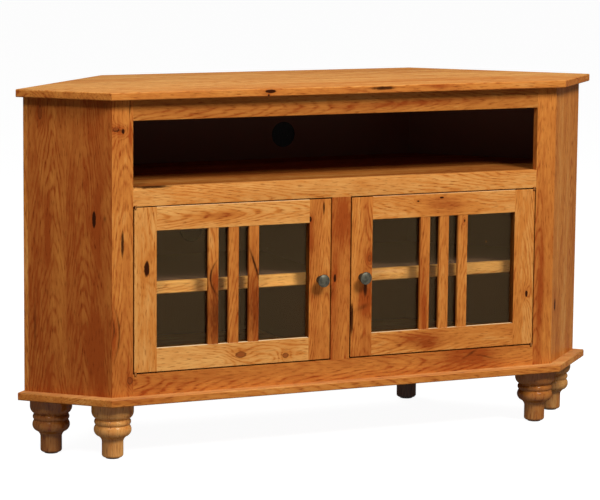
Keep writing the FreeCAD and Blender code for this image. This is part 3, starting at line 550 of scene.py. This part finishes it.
def hickory(wood, name, board, seed, gloss=1.0, centre=0.0):
    surface = Surface(name)
    tint, roughness, relief = grown(wood, surface, board, seed, centre)
    bump = surface.bump(0.35, wood.pore_depth, relief)
    lacquer = wood.sheen * gloss
    if gloss > 1:
        lacquer = (1 - surface.slope()) ** LACQUER_FALL * lacquer
    return surface.finish("BsdfPrincipled", {
        "Base Color": tint, "Roughness": roughness, "Normal": bump,
        "Specular IOR Level": 0.0, "Coat Weight": lacquer, "Coat Roughness": LACQUER_ROUGHNESS / gloss ** 0.5,
    })


def painted_inside_shade(wood, name):
    """Painted shade: a dark wood colour for the faces inside the cabinet, standing in for the shade there."""
    surface = Surface(name)
    place = surface.place()
    along, across, deep = (surface.along(place, axis) for axis in (X, Y, Z))
    stripes = surface.noise(along * 5, across * 160, deep * 160, detail=3.0)
    low, high = (tuple(part * depth for part in wood.stain) for depth in (0.5, 1.0))
    tint = surface.mix(low, high, stripes.ease(0.3, 0.75))
    bump = surface.bump(0.3, wood.pore_depth, stripes)
    return surface.finish("BsdfPrincipled", {
        "Base Color": tint, "Roughness": stripes * 0.2 + 0.7, "Specular IOR Level": 0.1, "Normal": bump})


# Metal, plastic and glass

# Cycles in a metre of the clouds and tool marks in metal and of the grain in plastic
CLOUD_SCALE, TOOL_SCALE, MOULD_SCALE = 120.0, 900.0, 1400.0


def metal(name, tint, roughness, worn):
    """A metal whose polish and colour are uneven, with fine tool marks."""
    surface = Surface(name)
    place = surface.place()
    cloud = surface.cloud(place, CLOUD_SCALE, 4.0)
    fine = surface.cloud(place, TOOL_SCALE, 2.0)
    tone = surface.mix(tint, tuple(part * worn for part in tint), cloud.ease(0.40, 0.62))
    bump = surface.bump(0.12, 0.0002, fine)
    return surface.finish("BsdfPrincipled", {
        "Base Color": tone, "Metallic": 1.0, "Roughness": cloud * 0.2 + fine * 0.1 + (roughness - 0.15),
        "Normal": bump})


def plastic(name, tint, gloss=0.5):
    surface = Surface(name)
    fine = surface.cloud(surface.place(), MOULD_SCALE, 2.0)
    tone = surface.mix(tint, tuple(part * 1.35 for part in tint), fine)
    bump = surface.bump(0.2, 0.0001, fine)
    return surface.finish("BsdfPrincipled", {
        "Base Color": tone, "Roughness": fine * 0.2 + 0.42, "Specular IOR Level": gloss, "Normal": bump})


def pane(name, tint, room):
    """A flat pane: light goes straight through, and each face mirrors a little of the room."""
    surface = Surface(name)
    clear = surface.add("BsdfTransparent", {}, {"Color": tint})
    mirror = surface.add("BsdfGlossy", {}, {"Color": room, "Roughness": 0.03})
    return surface.finish("MixShader", {0: surface.slope() ** 5.0 * 0.9 + 0.03, 1: clear, 2: mirror})


# Meshes

class Neighbours:
    """Finds where one solid touches another."""

    def __init__(self):
        spots, faces, self.owners = [], [], []
        for name, node in NODES.items():
            first = len(spots)
            spots += [vertex.co.copy() for vertex in node.data.vertices]
            faces += [[first + corner for corner in face.vertices] for face in node.data.polygons]
            self.owners += [name] * len(node.data.polygons)
        self.tree = BVHTree.FromPolygons(spots, faces)

    def touch(self, spot, node, reach):
        return any(self.owners[index] != node for _, _, index, _ in self.tree.find_nearest_range(spot, reach))


def is_free(edge, node, neighbours):
    """True for a long outer corner with nothing against either of its faces along most of its length."""
    if len(edge.link_faces) != 2 or edge.calc_length() < SHORTEST_EDGE or not edge.is_convex:
        return False
    if edge.calc_face_angle(0) < CORNER_ANGLE:
        return False
    low, high = (vertex.co for vertex in edge.verts)
    run = (high - low).normalized()
    covered = 0
    for part in PROBE_SHARES:
        spot = low.lerp(high, part)
        for face in edge.link_faces:
            inwards = face.calc_center_median() - spot
            inwards -= run * inwards.dot(run)
            probe = spot + inwards.normalized() * PROBE_INSIDE + face.normal * PROBE_ABOVE
            if neighbours.touch(probe, node, PROBE_REACH):
                covered += 1
                break
    return covered <= COVERED_SHARE * len(PROBE_SHARES)


def clean_copy(node):
    """A solid's mesh, joined up and with its flat faces whole."""
    form = bmesh.new()
    form.from_mesh(NODES[node].data)
    bmesh.ops.remove_doubles(form, verts=form.verts, dist=MERGE_DISTANCE)
    bmesh.ops.dissolve_limit(form, angle_limit=FLAT_ANGLE, verts=form.verts, edges=form.edges)
    return form


def slice_at(form, axis, levels):
    for level in levels:
        bmesh.ops.bisect_plane(
            form, geom=form.verts[:] + form.edges[:] + form.faces[:], dist=CUT_REACH,
            plane_co=axis * level, plane_no=axis)


def ease_edges(form, node, radius, neighbours):
    form.normal_update()
    free = [edge for edge in form.edges if is_free(edge, node, neighbours)]
    if free:
        bmesh.ops.bevel(
            form, geom=free, offset=radius, offset_type="OFFSET", segments=EASE_SEGMENTS, profile=0.5,
            affect="EDGES", clamp_overlap=True)


def to_mesh(form, name):
    mesh = bpy.data.meshes.new(name)
    bmesh.ops.triangulate(form, faces=[face for face in form.faces if len(face.verts) > 4])
    form.to_mesh(mesh)
    form.free()
    for face in mesh.polygons:
        face.use_smooth = True
    mesh.set_sharp_from_angle(angle=SHARP_ANGLE)
    return mesh


def placed(name, data):
    """A new object in the scene."""
    item = bpy.data.objects.new(name, data)
    bpy.context.scene.collection.objects.link(item)
    return item


def put(name, mesh, body, slot, material, *replaced):
    """Make a mesh a piece that moves with a body and stands for the solids that it replaces."""
    piece = placed(name, mesh)
    mesh.materials.clear()
    mesh.materials.append(material)
    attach(piece, body)
    if replaced:
        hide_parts(*replaced)


def dress(node, material, radius=0.0, neighbours=None, cuts=(), shape=None):
    """Put a finished copy of a solid in its place."""
    form = clean_copy(node)
    for axis, levels in cuts:
        slice_at(form, axis, levels)
    if radius:
        ease_edges(form, node, radius, neighbours)
    if shape:
        shape(form)
    put(f"{node}_dressed", to_mesh(form, node), BODY_OF[node], SLOT_OF[node], material, node)


def coat(node, material):
    """Give a solid that is right as it stands its finish."""
    for slot in NODES[node].material_slots:
        slot.material = material


# Geometry node trees for what repeats

# A screw head's recess and height, as shares of its radius
RECESS_LONG_SHARE, RECESS_WIDE_SHARE, RISE_SHARE = 1.25, 0.26, 0.5

# A cable brush: its rim's wall and seat, the span of its bristles, how far they stray and how far they reach
RIM_SHARE, RIM_SEAT_SHARE, SPAN_SHARE = 0.05, 0.55, 0.98
BRISTLE_STRAY, BRISTLE_REACH_SHARES = 0.0012, (1.04, 1.2)


class Tree:
    """A geometry node tree, with named inputs and one method that adds its nodes."""

    def __init__(self, name, inputs):
        self.tree = bpy.data.node_groups.new(name, "GeometryNodeTree")
        self.keys = {}
        for label, kind in inputs.items():
            item = self.tree.interface.new_socket(label, in_out="INPUT", socket_type=f"NodeSocket{kind}")
            self.keys[label] = item.identifier
        self.tree.interface.new_socket("Geometry", in_out="OUTPUT", socket_type="NodeSocketGeometry")
        self.start = self.tree.nodes.new("NodeGroupInput")

    def given(self, label):
        return self.start.outputs[label]

    def add(self, kind, settings, sockets, out=0):
        node = self.tree.nodes.new(kind if "Node" in kind else f"GeometryNode{kind}")
        for name, setting in settings.items():
            setattr(node, name, setting)
        for name, value in sockets.items():
            for one in value if isinstance(value, list) else [value]:
                if isinstance(one, bpy.types.NodeSocket):
                    self.tree.links.new(one, node.inputs[name])
                else:
                    node.inputs[name].default_value = one
        return node.outputs[out]

    def math(self, operation, first, second):
        return self.add("ShaderNodeMath", {"operation": operation}, {0: first, 1: second})

    def times(self, first, second):
        return self.math("MULTIPLY", first, second)

    def vector(self, **parts):
        return self.add("ShaderNodeCombineXYZ", {}, parts)

    def rectangle(self, width, height):
        return self.add("CurvePrimitiveQuadrilateral", {"mode": "RECTANGLE"}, {0: width, 1: height})

    def line(self, count, first, step):
        """Points a step apart."""
        sockets = {"Count": count, "Start Location": first, "Offset": step}
        return self.add("MeshLine", {"mode": "OFFSET"}, sockets)

    def chance(self, low, high, seed):
        return self.add("FunctionNodeRandomValue", {"data_type": "FLOAT"}, {2: low, 3: high, 8: seed}, out=1)

    def finish(self, instances, material):
        whole = self.add("RealizeInstances", {}, {"Geometry": instances})
        painted = self.add("SetMaterial", {}, {"Geometry": whole, "Material": material})
        end = self.tree.nodes.new("NodeGroupOutput")
        self.tree.links.new(painted, end.inputs["Geometry"])

    def grow(self, name, **values):
        """The plain mesh that the tree makes from the values of its inputs."""
        seed = placed(name, bpy.data.meshes.new(name))
        modifier = seed.modifiers.new("row", "NODES")
        modifier.node_group = self.tree
        for label, value in values.items():
            modifier[self.keys[label]] = value
        seed.update_tag()
        depsgraph = bpy.context.evaluated_depsgraph_get()
        mesh = bpy.data.meshes.new_from_object(seed.evaluated_get(depsgraph))
        bpy.data.objects.remove(seed)
        return mesh


def slat_tree():
    """Upright bars with rounded long edges, a pitch apart."""
    tree = Tree("slat_row", {
        "Count": "Int", "First": "Vector", "Pitch": "Float", "Width": "Float", "Depth": "Float",
        "Height": "Float", "Rounding": "Float", "Material": "Material"})
    outline = tree.rectangle(tree.given("Width"), tree.given("Depth"))
    outline = tree.add("FilletCurve", {"mode": "POLY"},
                       {"Curve": outline, "Radius": tree.given("Rounding"), "Count": 3})
    face = tree.add("FillCurve", {"mode": "NGONS"}, {"Curve": outline})
    up = tree.vector(Z=tree.given("Height"))
    bar = tree.add("ExtrudeMesh", {"mode": "FACES"},
                   {"Mesh": face, "Offset": up, "Individual": False})
    foot = tree.add("FlipFaces", {}, {"Mesh": face})
    bar = tree.add("JoinGeometry", {}, {"Geometry": [bar, foot]})
    bar = tree.add("MergeByDistance", {}, {"Geometry": bar, "Distance": MERGE_DISTANCE})
    step = tree.vector(X=tree.given("Pitch"))
    line = tree.line(tree.given("Count"), tree.given("First"), step)
    row = tree.add("InstanceOnPoints", {}, {"Points": line, "Instance": bar})
    tree.finish(row, tree.given("Material"))
    return tree


def screw_tree():
    """Low round screw heads with a cross recess, a step apart."""
    tree = Tree("screw_row", {
        "Count": "Int", "First": "Vector", "Step": "Vector", "Facing": "Rotation", "Radius": "Float",
        "Material": "Material"})
    radius = tree.given("Radius")
    ball = tree.add("MeshUVSphere", {}, {"Segments": 14, "Rings": 8, "Radius": radius})
    head = tree.add("Transform", {}, {"Geometry": ball, "Scale": (1.0, 1.0, RISE_SHARE)})
    long, thin, lift = (
        tree.times(radius, part) for part in (RECESS_LONG_SHARE, RECESS_WIDE_SHARE, RISE_SHARE))
    first = tree.vector(X=long, Y=thin, Z=lift)
    second = tree.vector(X=thin, Y=long, Z=lift)
    raised = tree.vector(Z=lift)
    blades = [
        tree.add("Transform", {}, {
            "Geometry": tree.add("MeshCube", {}, {"Size": size}), "Translation": raised})
        for size in (first, second)
    ]
    head = tree.add("MeshBoolean", {"operation": "DIFFERENCE", "solver": "EXACT"},
                    {"Mesh 1": head, "Mesh 2": blades})
    line = tree.line(tree.given("Count"), tree.given("First"), tree.given("Step"))
    row = tree.add("InstanceOnPoints", {}, {
        "Points": line, "Instance": head, "Rotation": tree.given("Facing")})
    tree.finish(row, tree.given("Material"))
    return tree


def brush_tree():
    """A rim in a round cable hole, with bristles that meet across it from above and below."""
    tree = Tree("cable_brush", {
        "Count": "Int", "Middle": "Vector", "Radius": "Float", "Depth": "Float", "Bristle": "Float",
        "Material": "Material"})
    radius, count, bristle = tree.given("Radius"), tree.given("Count"), tree.given("Bristle")
    wall = tree.times(radius, RIM_SHARE)
    inner = tree.math("SUBTRACT", radius, wall)
    gaps = tree.math("SUBTRACT", count, 1.0)
    start = tree.vector(X=tree.times(inner, -SPAN_SHARE))
    step = tree.vector(X=tree.math("DIVIDE", tree.times(inner, 2 * SPAN_SHARE), gaps))
    line = tree.line(count, start, step)
    spot = tree.add("InputPosition", {}, {})
    across = tree.add("ShaderNodeSeparateXYZ", {}, {0: spot})
    chord = tree.math("SUBTRACT", tree.times(inner, inner), tree.times(across, across))
    rise = tree.math("SQRT", chord, 0.0)
    tip = tree.times(bristle, 0.5)
    hair = tree.add(
        "MeshCone", {}, {"Vertices": 5, "Radius Top": tip, "Radius Bottom": bristle, "Depth": 1.0})
    rows = []
    for seed, (side, turn) in enumerate(((-1.0, 0.0), (1.0, math.pi))):
        stray = tree.chance(-BRISTLE_STRAY, BRISTLE_STRAY, seed)
        reach = tree.chance(*BRISTLE_REACH_SHARES, seed + 5)
        root = tree.vector(Y=stray, Z=tree.times(rise, side))
        points = tree.add("SetPosition", {}, {"Geometry": line, "Offset": root})
        size = tree.vector(X=1.0, Y=1.0, Z=tree.times(rise, reach))
        rows.append(tree.add("InstanceOnPoints", {}, {
            "Points": points, "Instance": hair, "Rotation": (turn, 0.0, 0.0), "Scale": size}))
    seat = tree.math("SUBTRACT", radius, tree.times(wall, RIM_SEAT_SHARE))
    ring = tree.add("CurvePrimitiveCircle", {"mode": "RADIUS"}, {"Resolution": 56, "Radius": seat})
    section = tree.rectangle(wall, tree.given("Depth"))
    rim = tree.add("CurveToMesh", {}, {"Curve": ring, "Profile Curve": section})
    rim = tree.add("Transform", {}, {"Geometry": rim, "Rotation": (math.pi / 2, 0.0, 0.0)})
    whole = tree.add("JoinGeometry", {}, {"Geometry": [rim, *rows]})
    whole = tree.add("Transform", {}, {"Geometry": whole, "Translation": tree.given("Middle")})
    tree.finish(whole, tree.given("Material"))
    return tree


def merged(name, meshes):
    """Several meshes as one."""
    form = bmesh.new()
    for mesh in meshes:
        form.from_mesh(mesh)
        bpy.data.meshes.remove(mesh)
    return to_mesh(form, name)


# Operators, one for each group of pieces

# The wane on the middle rail: its length, how many cuts shape it, how deep it falls, how far in it reaches,
# and how it curves and ripples along its length
WANE_RUN, WANE_CUTS, WANE_DROP, WANE_REACH = 0.11, 14, 0.0065, 0.004
WANE_CURVE, WANE_RIPPLE, WANE_WAVES, WANE_START = 1.4, 0.25, 17, -0.05

# How the hearts of the boards are spread about the boards' middles
HEART_STEP, HEART_SPREAD = 0.618, 0.04

# The screws: how far the back's rows start from its corners, and a strike's screws lie from its middle
ROW_START, STRIKE_SPREAD_SHARE = 0.05, 0.28
BACK_SCREWS, WALL_SCREWS = 6, 4
BRUSH_DEPTH_SHARE = 0.9


class CABINET_OT_boards(bpy.types.Operator):
    """Dress the face frame, the doors' stiles and rails, the panels, the top and the base"""

    bl_idname = "cabinet.boards"
    bl_label = "Hickory boards"

    def execute(self, context):
        wood = context.scene.cabinet_wood
        neighbours = Neighbours()
        levels = sorted({
            corner.z for rail in ("top", "middle", "bottom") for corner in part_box(f"{rail}_face_rail")})
        sight = [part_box("left_door_bottom_rail")[1].z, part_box("left_door_top_rail")[0].z]
        stile_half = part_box("center_face_stile")[1].x
        left_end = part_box("left_face_stile")[1].x
        rail_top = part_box("middle_face_rail")[1].z
        wane_steps = [left_end + WANE_RUN * step / WANE_CUTS for step in range(1, WANE_CUTS)]
        cuts = {
            "left_face_stile": [(Z, levels)],
            "right_face_stile": [(Z, levels)],
            "middle_face_rail": [(X, [-stile_half, stile_half] + wane_steps)],
            "bottom_face_rail": [(X, [-stile_half, stile_half])],
        }

        def wane(form):
            """Let the rail's top arris fall away at its left end, where the tree's outside was."""
            for vertex in form.verts:
                spot = vertex.co
                run = (spot.x - left_end) / WANE_RUN
                at_arris = spot.z > rail_top - WANE_REACH and spot.y < FRONT_Y + WANE_REACH
                if at_arris and WANE_START < run < 1:
                    ripple = 1 + WANE_RIPPLE * math.sin(run * WANE_WAVES)
                    spot.z -= WANE_DROP * (1 - max(run, 0)) ** WANE_CURVE * ripple

        for seed, (node, board) in enumerate(BOARDS.items(), 1):
            grain = GRAINS[board.grain]
            offset = (seed * HEART_STEP % 1 - 0.5) * HEART_SPREAD
            centre = (sum(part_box(node), Vector()) / 2 - grain.origin).dot(grain.across) + offset
            material = hickory(wood, f"hickory_{node}", board, seed, centre=centre)
            door_cuts = [(Z, sight)] if "_door_" in node and "stile" in node else ()
            dress(node, material, wood.edge_ease, neighbours, cuts.get(node, door_cuts),
                  wane if node == "middle_face_rail" else None)
        return {"FINISHED"}


class CABINET_OT_slats(bpy.types.Operator):
    """Make the upright bars in front of both panes"""

    bl_idname = "cabinet.slats"
    bl_label = "Door slats"

    def execute(self, context):
        wood, hardware = context.scene.cabinet_wood, context.scene.cabinet_hardware
        tree = slat_tree()
        for hand, marks in SLAT_MARKS.items():
            slats = [f"{hand}_door_slat_{count}" for count in (1, 2, 3)]
            boxes = sorted((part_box(slat) for slat in slats), key=lambda box: box[0].x)
            low, high = boxes[0]
            pitch = boxes[1][0].x - low.x
            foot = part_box(f"{hand}_door_bottom_rail")[1].z
            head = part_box(f"{hand}_door_top_rail")[0].z
            board = Board("upright", 0.04, marks, pitch)
            material = hickory(wood, f"hickory_{hand}_slats", board, SLAT_SEEDS[hand])
            mesh = tree.grow(
                f"{hand}_slats", Count=len(slats), First=((low.x + high.x) / 2, (low.y + high.y) / 2, foot),
                Pitch=pitch, Width=high.x - low.x, Depth=high.y - low.y, Height=head - foot,
                Rounding=hardware.slat_round, Material=material)
            form = bmesh.new()
            form.from_mesh(mesh)
            bmesh.ops.recalc_face_normals(form, faces=form.faces)
            mesh = to_mesh(form, f"{hand}_slats")
            put(f"{hand}_door_slats", mesh, f"{hand}_door", "door_wood", material, *slats)
        return {"FINISHED"}


class CABINET_OT_feet(bpy.types.Operator):
    """Finish the turned feet and their glides, bolts and nuts"""

    bl_idname = "cabinet.feet"
    bl_label = "Turned feet"

    def execute(self, context):
        wood, hardware = context.scene.cabinet_wood, context.scene.cabinet_hardware
        for seed, (name, blank) in enumerate(FOOT_BLANKS.items(), FOOT_SEED):
            board = Board("upright", blank.tone, (), FOOT_STAVE, glaze=blank.glaze)
            dress(f"{name}_foot", hickory(wood, f"hickory_{name}_foot", board, seed, gloss=FOOT_GLOSS))
        zinc = metal("zinc_plate", hardware.steel, 0.42, 0.8)
        coat("foot_bolts", zinc)
        coat("foot_nuts", zinc)
        coat("foot_glides", plastic("glide_plastic", hardware.glide_black))
        return {"FINISHED"}


class CABINET_OT_inside(bpy.types.Operator):
    """Give the divider, shelves and cleats the dark colour of the painted inner shade, and fit the shelf pins
    """

    bl_idname = "cabinet.inside"
    bl_label = "Inside"

    def execute(self, context):
        wood, hardware = context.scene.cabinet_wood, context.scene.cabinet_hardware
        dark = painted_inside_shade(wood, "inner_stain")
        for node in ("center_divider", "left_shelf", "right_shelf", "top_cleats"):
            coat(node, dark)
        coat("shelf_pins", metal("pin_brass", hardware.brass, 0.35, 0.75))
        return {"FINISHED"}


class CABINET_OT_glass(bpy.types.Operator):
    """Glaze both doors and dress the strips that hold the panes"""

    bl_idname = "cabinet.glass"
    bl_label = "Door glass"

    def execute(self, context):
        wood, hardware = context.scene.cabinet_wood, context.scene.cabinet_hardware
        clear = pane("door_glass", hardware.glass_tint, hardware.glass_mirror)
        for seed, hand in enumerate(HANDS, STOP_SEED):
            coat(f"{hand}_door_glass", clear)
            coat(f"{hand}_glass_stops", hickory(wood, f"hickory_{hand}_stops", STOP_BOARD, seed))
        return {"FINISHED"}


class CABINET_OT_hardware(bpy.types.Operator):
    """Finish the knobs, hinges, catches and strikes, and drive the screws"""

    bl_idname = "cabinet.hardware"
    bl_label = "Knobs, hinges and screws"

    def execute(self, context):
        hardware = context.scene.cabinet_hardware
        pewter = metal("antique_pewter", hardware.pewter, 0.48, 0.6)
        brass = metal("hinge_brass", hardware.brass, 0.32, 0.7)
        zinc = metal("screw_zinc", hardware.steel, 0.38, 0.8)
        for hand in HANDS:
            dress(f"{hand}_knob", pewter)
            coat(f"{hand}_knob_screw", zinc)
            coat(f"{hand}_strike", zinc)
            coat(f"{hand}_door_hinge_leaves", brass)
        coat("frame_hinge_leaves", brass)
        coat("hinge_pins", brass)
        coat("door_catches", plastic("catch_plastic", hardware.catch_brown))
        self.cable_brushes(hardware)
        tree = screw_tree()
        self.back_screws(tree, hardware, zinc)
        for hand in HANDS:
            low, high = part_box(f"{hand}_strike")
            spread = (high.x - low.x) * STRIKE_SPREAD_SHARE
            middle = (low + high) / 2
            mesh = tree.grow(
                f"{hand}_strike_screws", Count=2, First=(middle.x - spread, high.y, middle.z),
                Step=(2 * spread, 0, 0), Facing=Euler((-math.pi / 2, 0, 0)),
                Radius=hardware.plate_screw_radius, Material=zinc)
            mesh = merged(f"{hand}_strike_screws", [mesh])
            put(f"{hand}_strike_screws", mesh, f"{hand}_door", "steel", zinc)
        return {"FINISHED"}

    def cable_brushes(self, hardware):
        """Brushes that close the cable holes round the cables."""
        tree, black = brush_tree(), plastic("brush_black", hardware.glide_black, gloss=0.12)
        meshes = [
            tree.grow("cable_brush", Count=hardware.bristle_count, Middle=mount["pos_m"],
                      Radius=mount["dims"]["r_mm"] / 1000, Depth=PANEL_DEPTH * BRUSH_DEPTH_SHARE,
                      Bristle=hardware.bristle_radius, Material=black)
            for mount in frame["record"]["mounts"] if mount["name"].endswith("cable_hole")
        ]
        put("cable_brushes", merged("cable_brushes", meshes), "carcass", "glide_plastic", black)

    def back_screws(self, tree, hardware, zinc):
        """Rows of screws that hold the back panels to the floor, the deck and the rear cleat."""
        floor, deck, cleat = (
            sum(corner.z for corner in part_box(node)) / 2
            for node in ("cupboard_floor", "bay_deck", "top_cleats"))
        rows = []
        for level in (floor, deck, cleat):
            first = (ROW_START - BACK_HALF_X, BACK_OUTER_Y, level)
            pitch = 2 * (BACK_HALF_X - ROW_START) / (BACK_SCREWS - 1)
            rows.append((first, (pitch, 0, 0), BACK_SCREWS, 0.0))
        run = (WALL_SIDE_X - BACK_HALF_X) / SLANT
        near = ROW_START * SLANT
        pitch = (run - 2 * ROW_START) / (WALL_SCREWS - 1) * SLANT
        for level in (floor, deck):
            for side in (-1, 1):
                first = (side * (BACK_HALF_X + near), BACK_OUTER_Y - near, level)
                rows.append((first, (side * pitch, -pitch, 0), WALL_SCREWS, -side * math.pi / 4))
        meshes = [
            tree.grow("back_screw_row", Count=count, First=first, Step=step,
                      Facing=Euler((-math.pi / 2, 0, turn)), Radius=hardware.screw_radius, Material=zinc)
            for first, step, count, turn in rows
        ]
        put("back_screws", merged("back_screws", meshes), "carcass", "steel", zinc)


Lamp = namedtuple("Lamp", "place size")
LAMPS = {
    "key": Lamp(Vector((1.0, -3.8, 4.0)), 1.4),
    "fill": Lamp(Vector((-2.4, -2.6, 3.5)), 0.8),
    "back": Lamp(Vector((0.3, 2.4, 3.0)), 1.6),
}
LAMP_AIM = Vector((0, 0, 0.45))
FLOOR_HALF = 40.0
SENSOR_WIDTH, SIGHT_END = 36, 200


class CABINET_OT_stage(bpy.types.Operator):
    """Set the floor, the lamps and the camera"""

    bl_idname = "cabinet.stage"
    bl_label = "Stage"

    def execute(self, context):
        stage = context.scene.cabinet_stage
        self.floor(stage)
        self.surround(context.scene, stage)
        for name, lamp in LAMPS.items():
            self.light(name, lamp, getattr(stage, f"{name}_watts"))
        self.camera(context.scene, stage)
        context.scene.view_settings.view_transform = "Standard"
        return {"FINISHED"}

    def sight_line(self, surface):
        """One for rays that show the stage to the eye, straight, mirrored or through glass."""
        straight, mirrored, through = (
            surface.add("LightPath", {}, {}, out=out)
            for out in ("Is Camera Ray", "Is Glossy Ray", "Is Transmission Ray"))
        return straight.math("MAXIMUM", straight.math("MAXIMUM", straight, mirrored), through)

    def floor(self, stage):
        corners = ((-1, -1), (1, -1), (1, 1), (-1, 1))
        form = bmesh.new()
        form.faces.new([form.verts.new((x * FLOOR_HALF, y * FLOOR_HALF, 0)) for x, y in corners])
        mesh = bpy.data.meshes.new("floor")
        form.to_mesh(mesh)
        form.free()
        floor = placed("floor", mesh)
        surface = Surface("pale_floor")
        paper = surface.add("BsdfDiffuse", {}, {"Color": (stage.floor_grey,) * 3})
        glow = surface.add("Emission", {}, {"Strength": self.sight_line(surface) * stage.floor_glow})
        mesh.materials.append(surface.finish("AddShader", {0: paper, 1: glow}))

    def surround(self, scene, stage):
        surface = Surface("soft_surround", bpy.data.worlds)
        strength = surface.add("Mix", {}, {0: self.sight_line(surface), 2: stage.surround, 3: 1.0})
        scene.world = surface.finish("Background", {"Strength": strength}, end="OutputWorld")

    def light(self, name, lamp, watts):
        area = bpy.data.lights.new(name, "AREA")
        area.energy, area.size = watts, lamp.size
        stand = placed(name, area)
        stand.location = lamp.place
        stand.rotation_euler = (LAMP_AIM - lamp.place).to_track_quat("-Z", "Y").to_euler()

    def camera(self, scene, stage):
        lens = bpy.data.cameras.new("camera")
        lens.lens, lens.sensor_width, lens.sensor_fit = stage.lens, SENSOR_WIDTH, "HORIZONTAL"
        lens.clip_end = SIGHT_END
        camera = placed("camera", lens)
        turn = (Matrix.Rotation(-stage.camera_yaw, 4, "Z")
                @ Matrix.Rotation(math.pi / 2 - stage.camera_pitch, 4, "X")
                @ Matrix.Rotation(stage.camera_roll, 4, "Z"))
        camera.matrix_world = Matrix.Translation(stage.camera_place) @ turn
        scene.camera = camera


STEPS = (CABINET_OT_boards, CABINET_OT_slats, CABINET_OT_feet, CABINET_OT_inside, CABINET_OT_glass,
         CABINET_OT_hardware, CABINET_OT_stage)
SETTINGS = {
    "cabinet_wood": WoodSettings, "cabinet_hardware": HardwareSettings, "cabinet_stage": StageSettings}


class CABINET_PT_panel(bpy.types.Panel):
    """Lists the steps that dress the cabinet, and their settings"""

    bl_idname = "CABINET_PT_panel"
    bl_label = "Corner cabinet"
    bl_space_type = "VIEW_3D"
    bl_region_type = "UI"
    bl_category = "Cabinet"

    def draw(self, context):
        for step in STEPS:
            self.layout.operator(step.bl_idname)
        for group in SETTINGS:
            column = self.layout.column()
            for name in getattr(context.scene, group).__annotations__:
                column.prop(getattr(context.scene, group), name)


CLASSES = (*SETTINGS.values(), *STEPS, CABINET_PT_panel)


def register():
    for item in CLASSES:
        bpy.utils.register_class(item)
    for name, group in SETTINGS.items():
        setattr(bpy.types.Scene, name, PointerProperty(type=group))


def unregister():
    for name in SETTINGS:
        delattr(bpy.types.Scene, name)
    for item in reversed(CLASSES):
        bpy.utils.unregister_class(item)


def main():
    register()
    for step in STEPS:
        family, action = step.bl_idname.split(".")
        getattr(getattr(bpy.ops, family), action)()


if __name__ == "__main__":
    main()
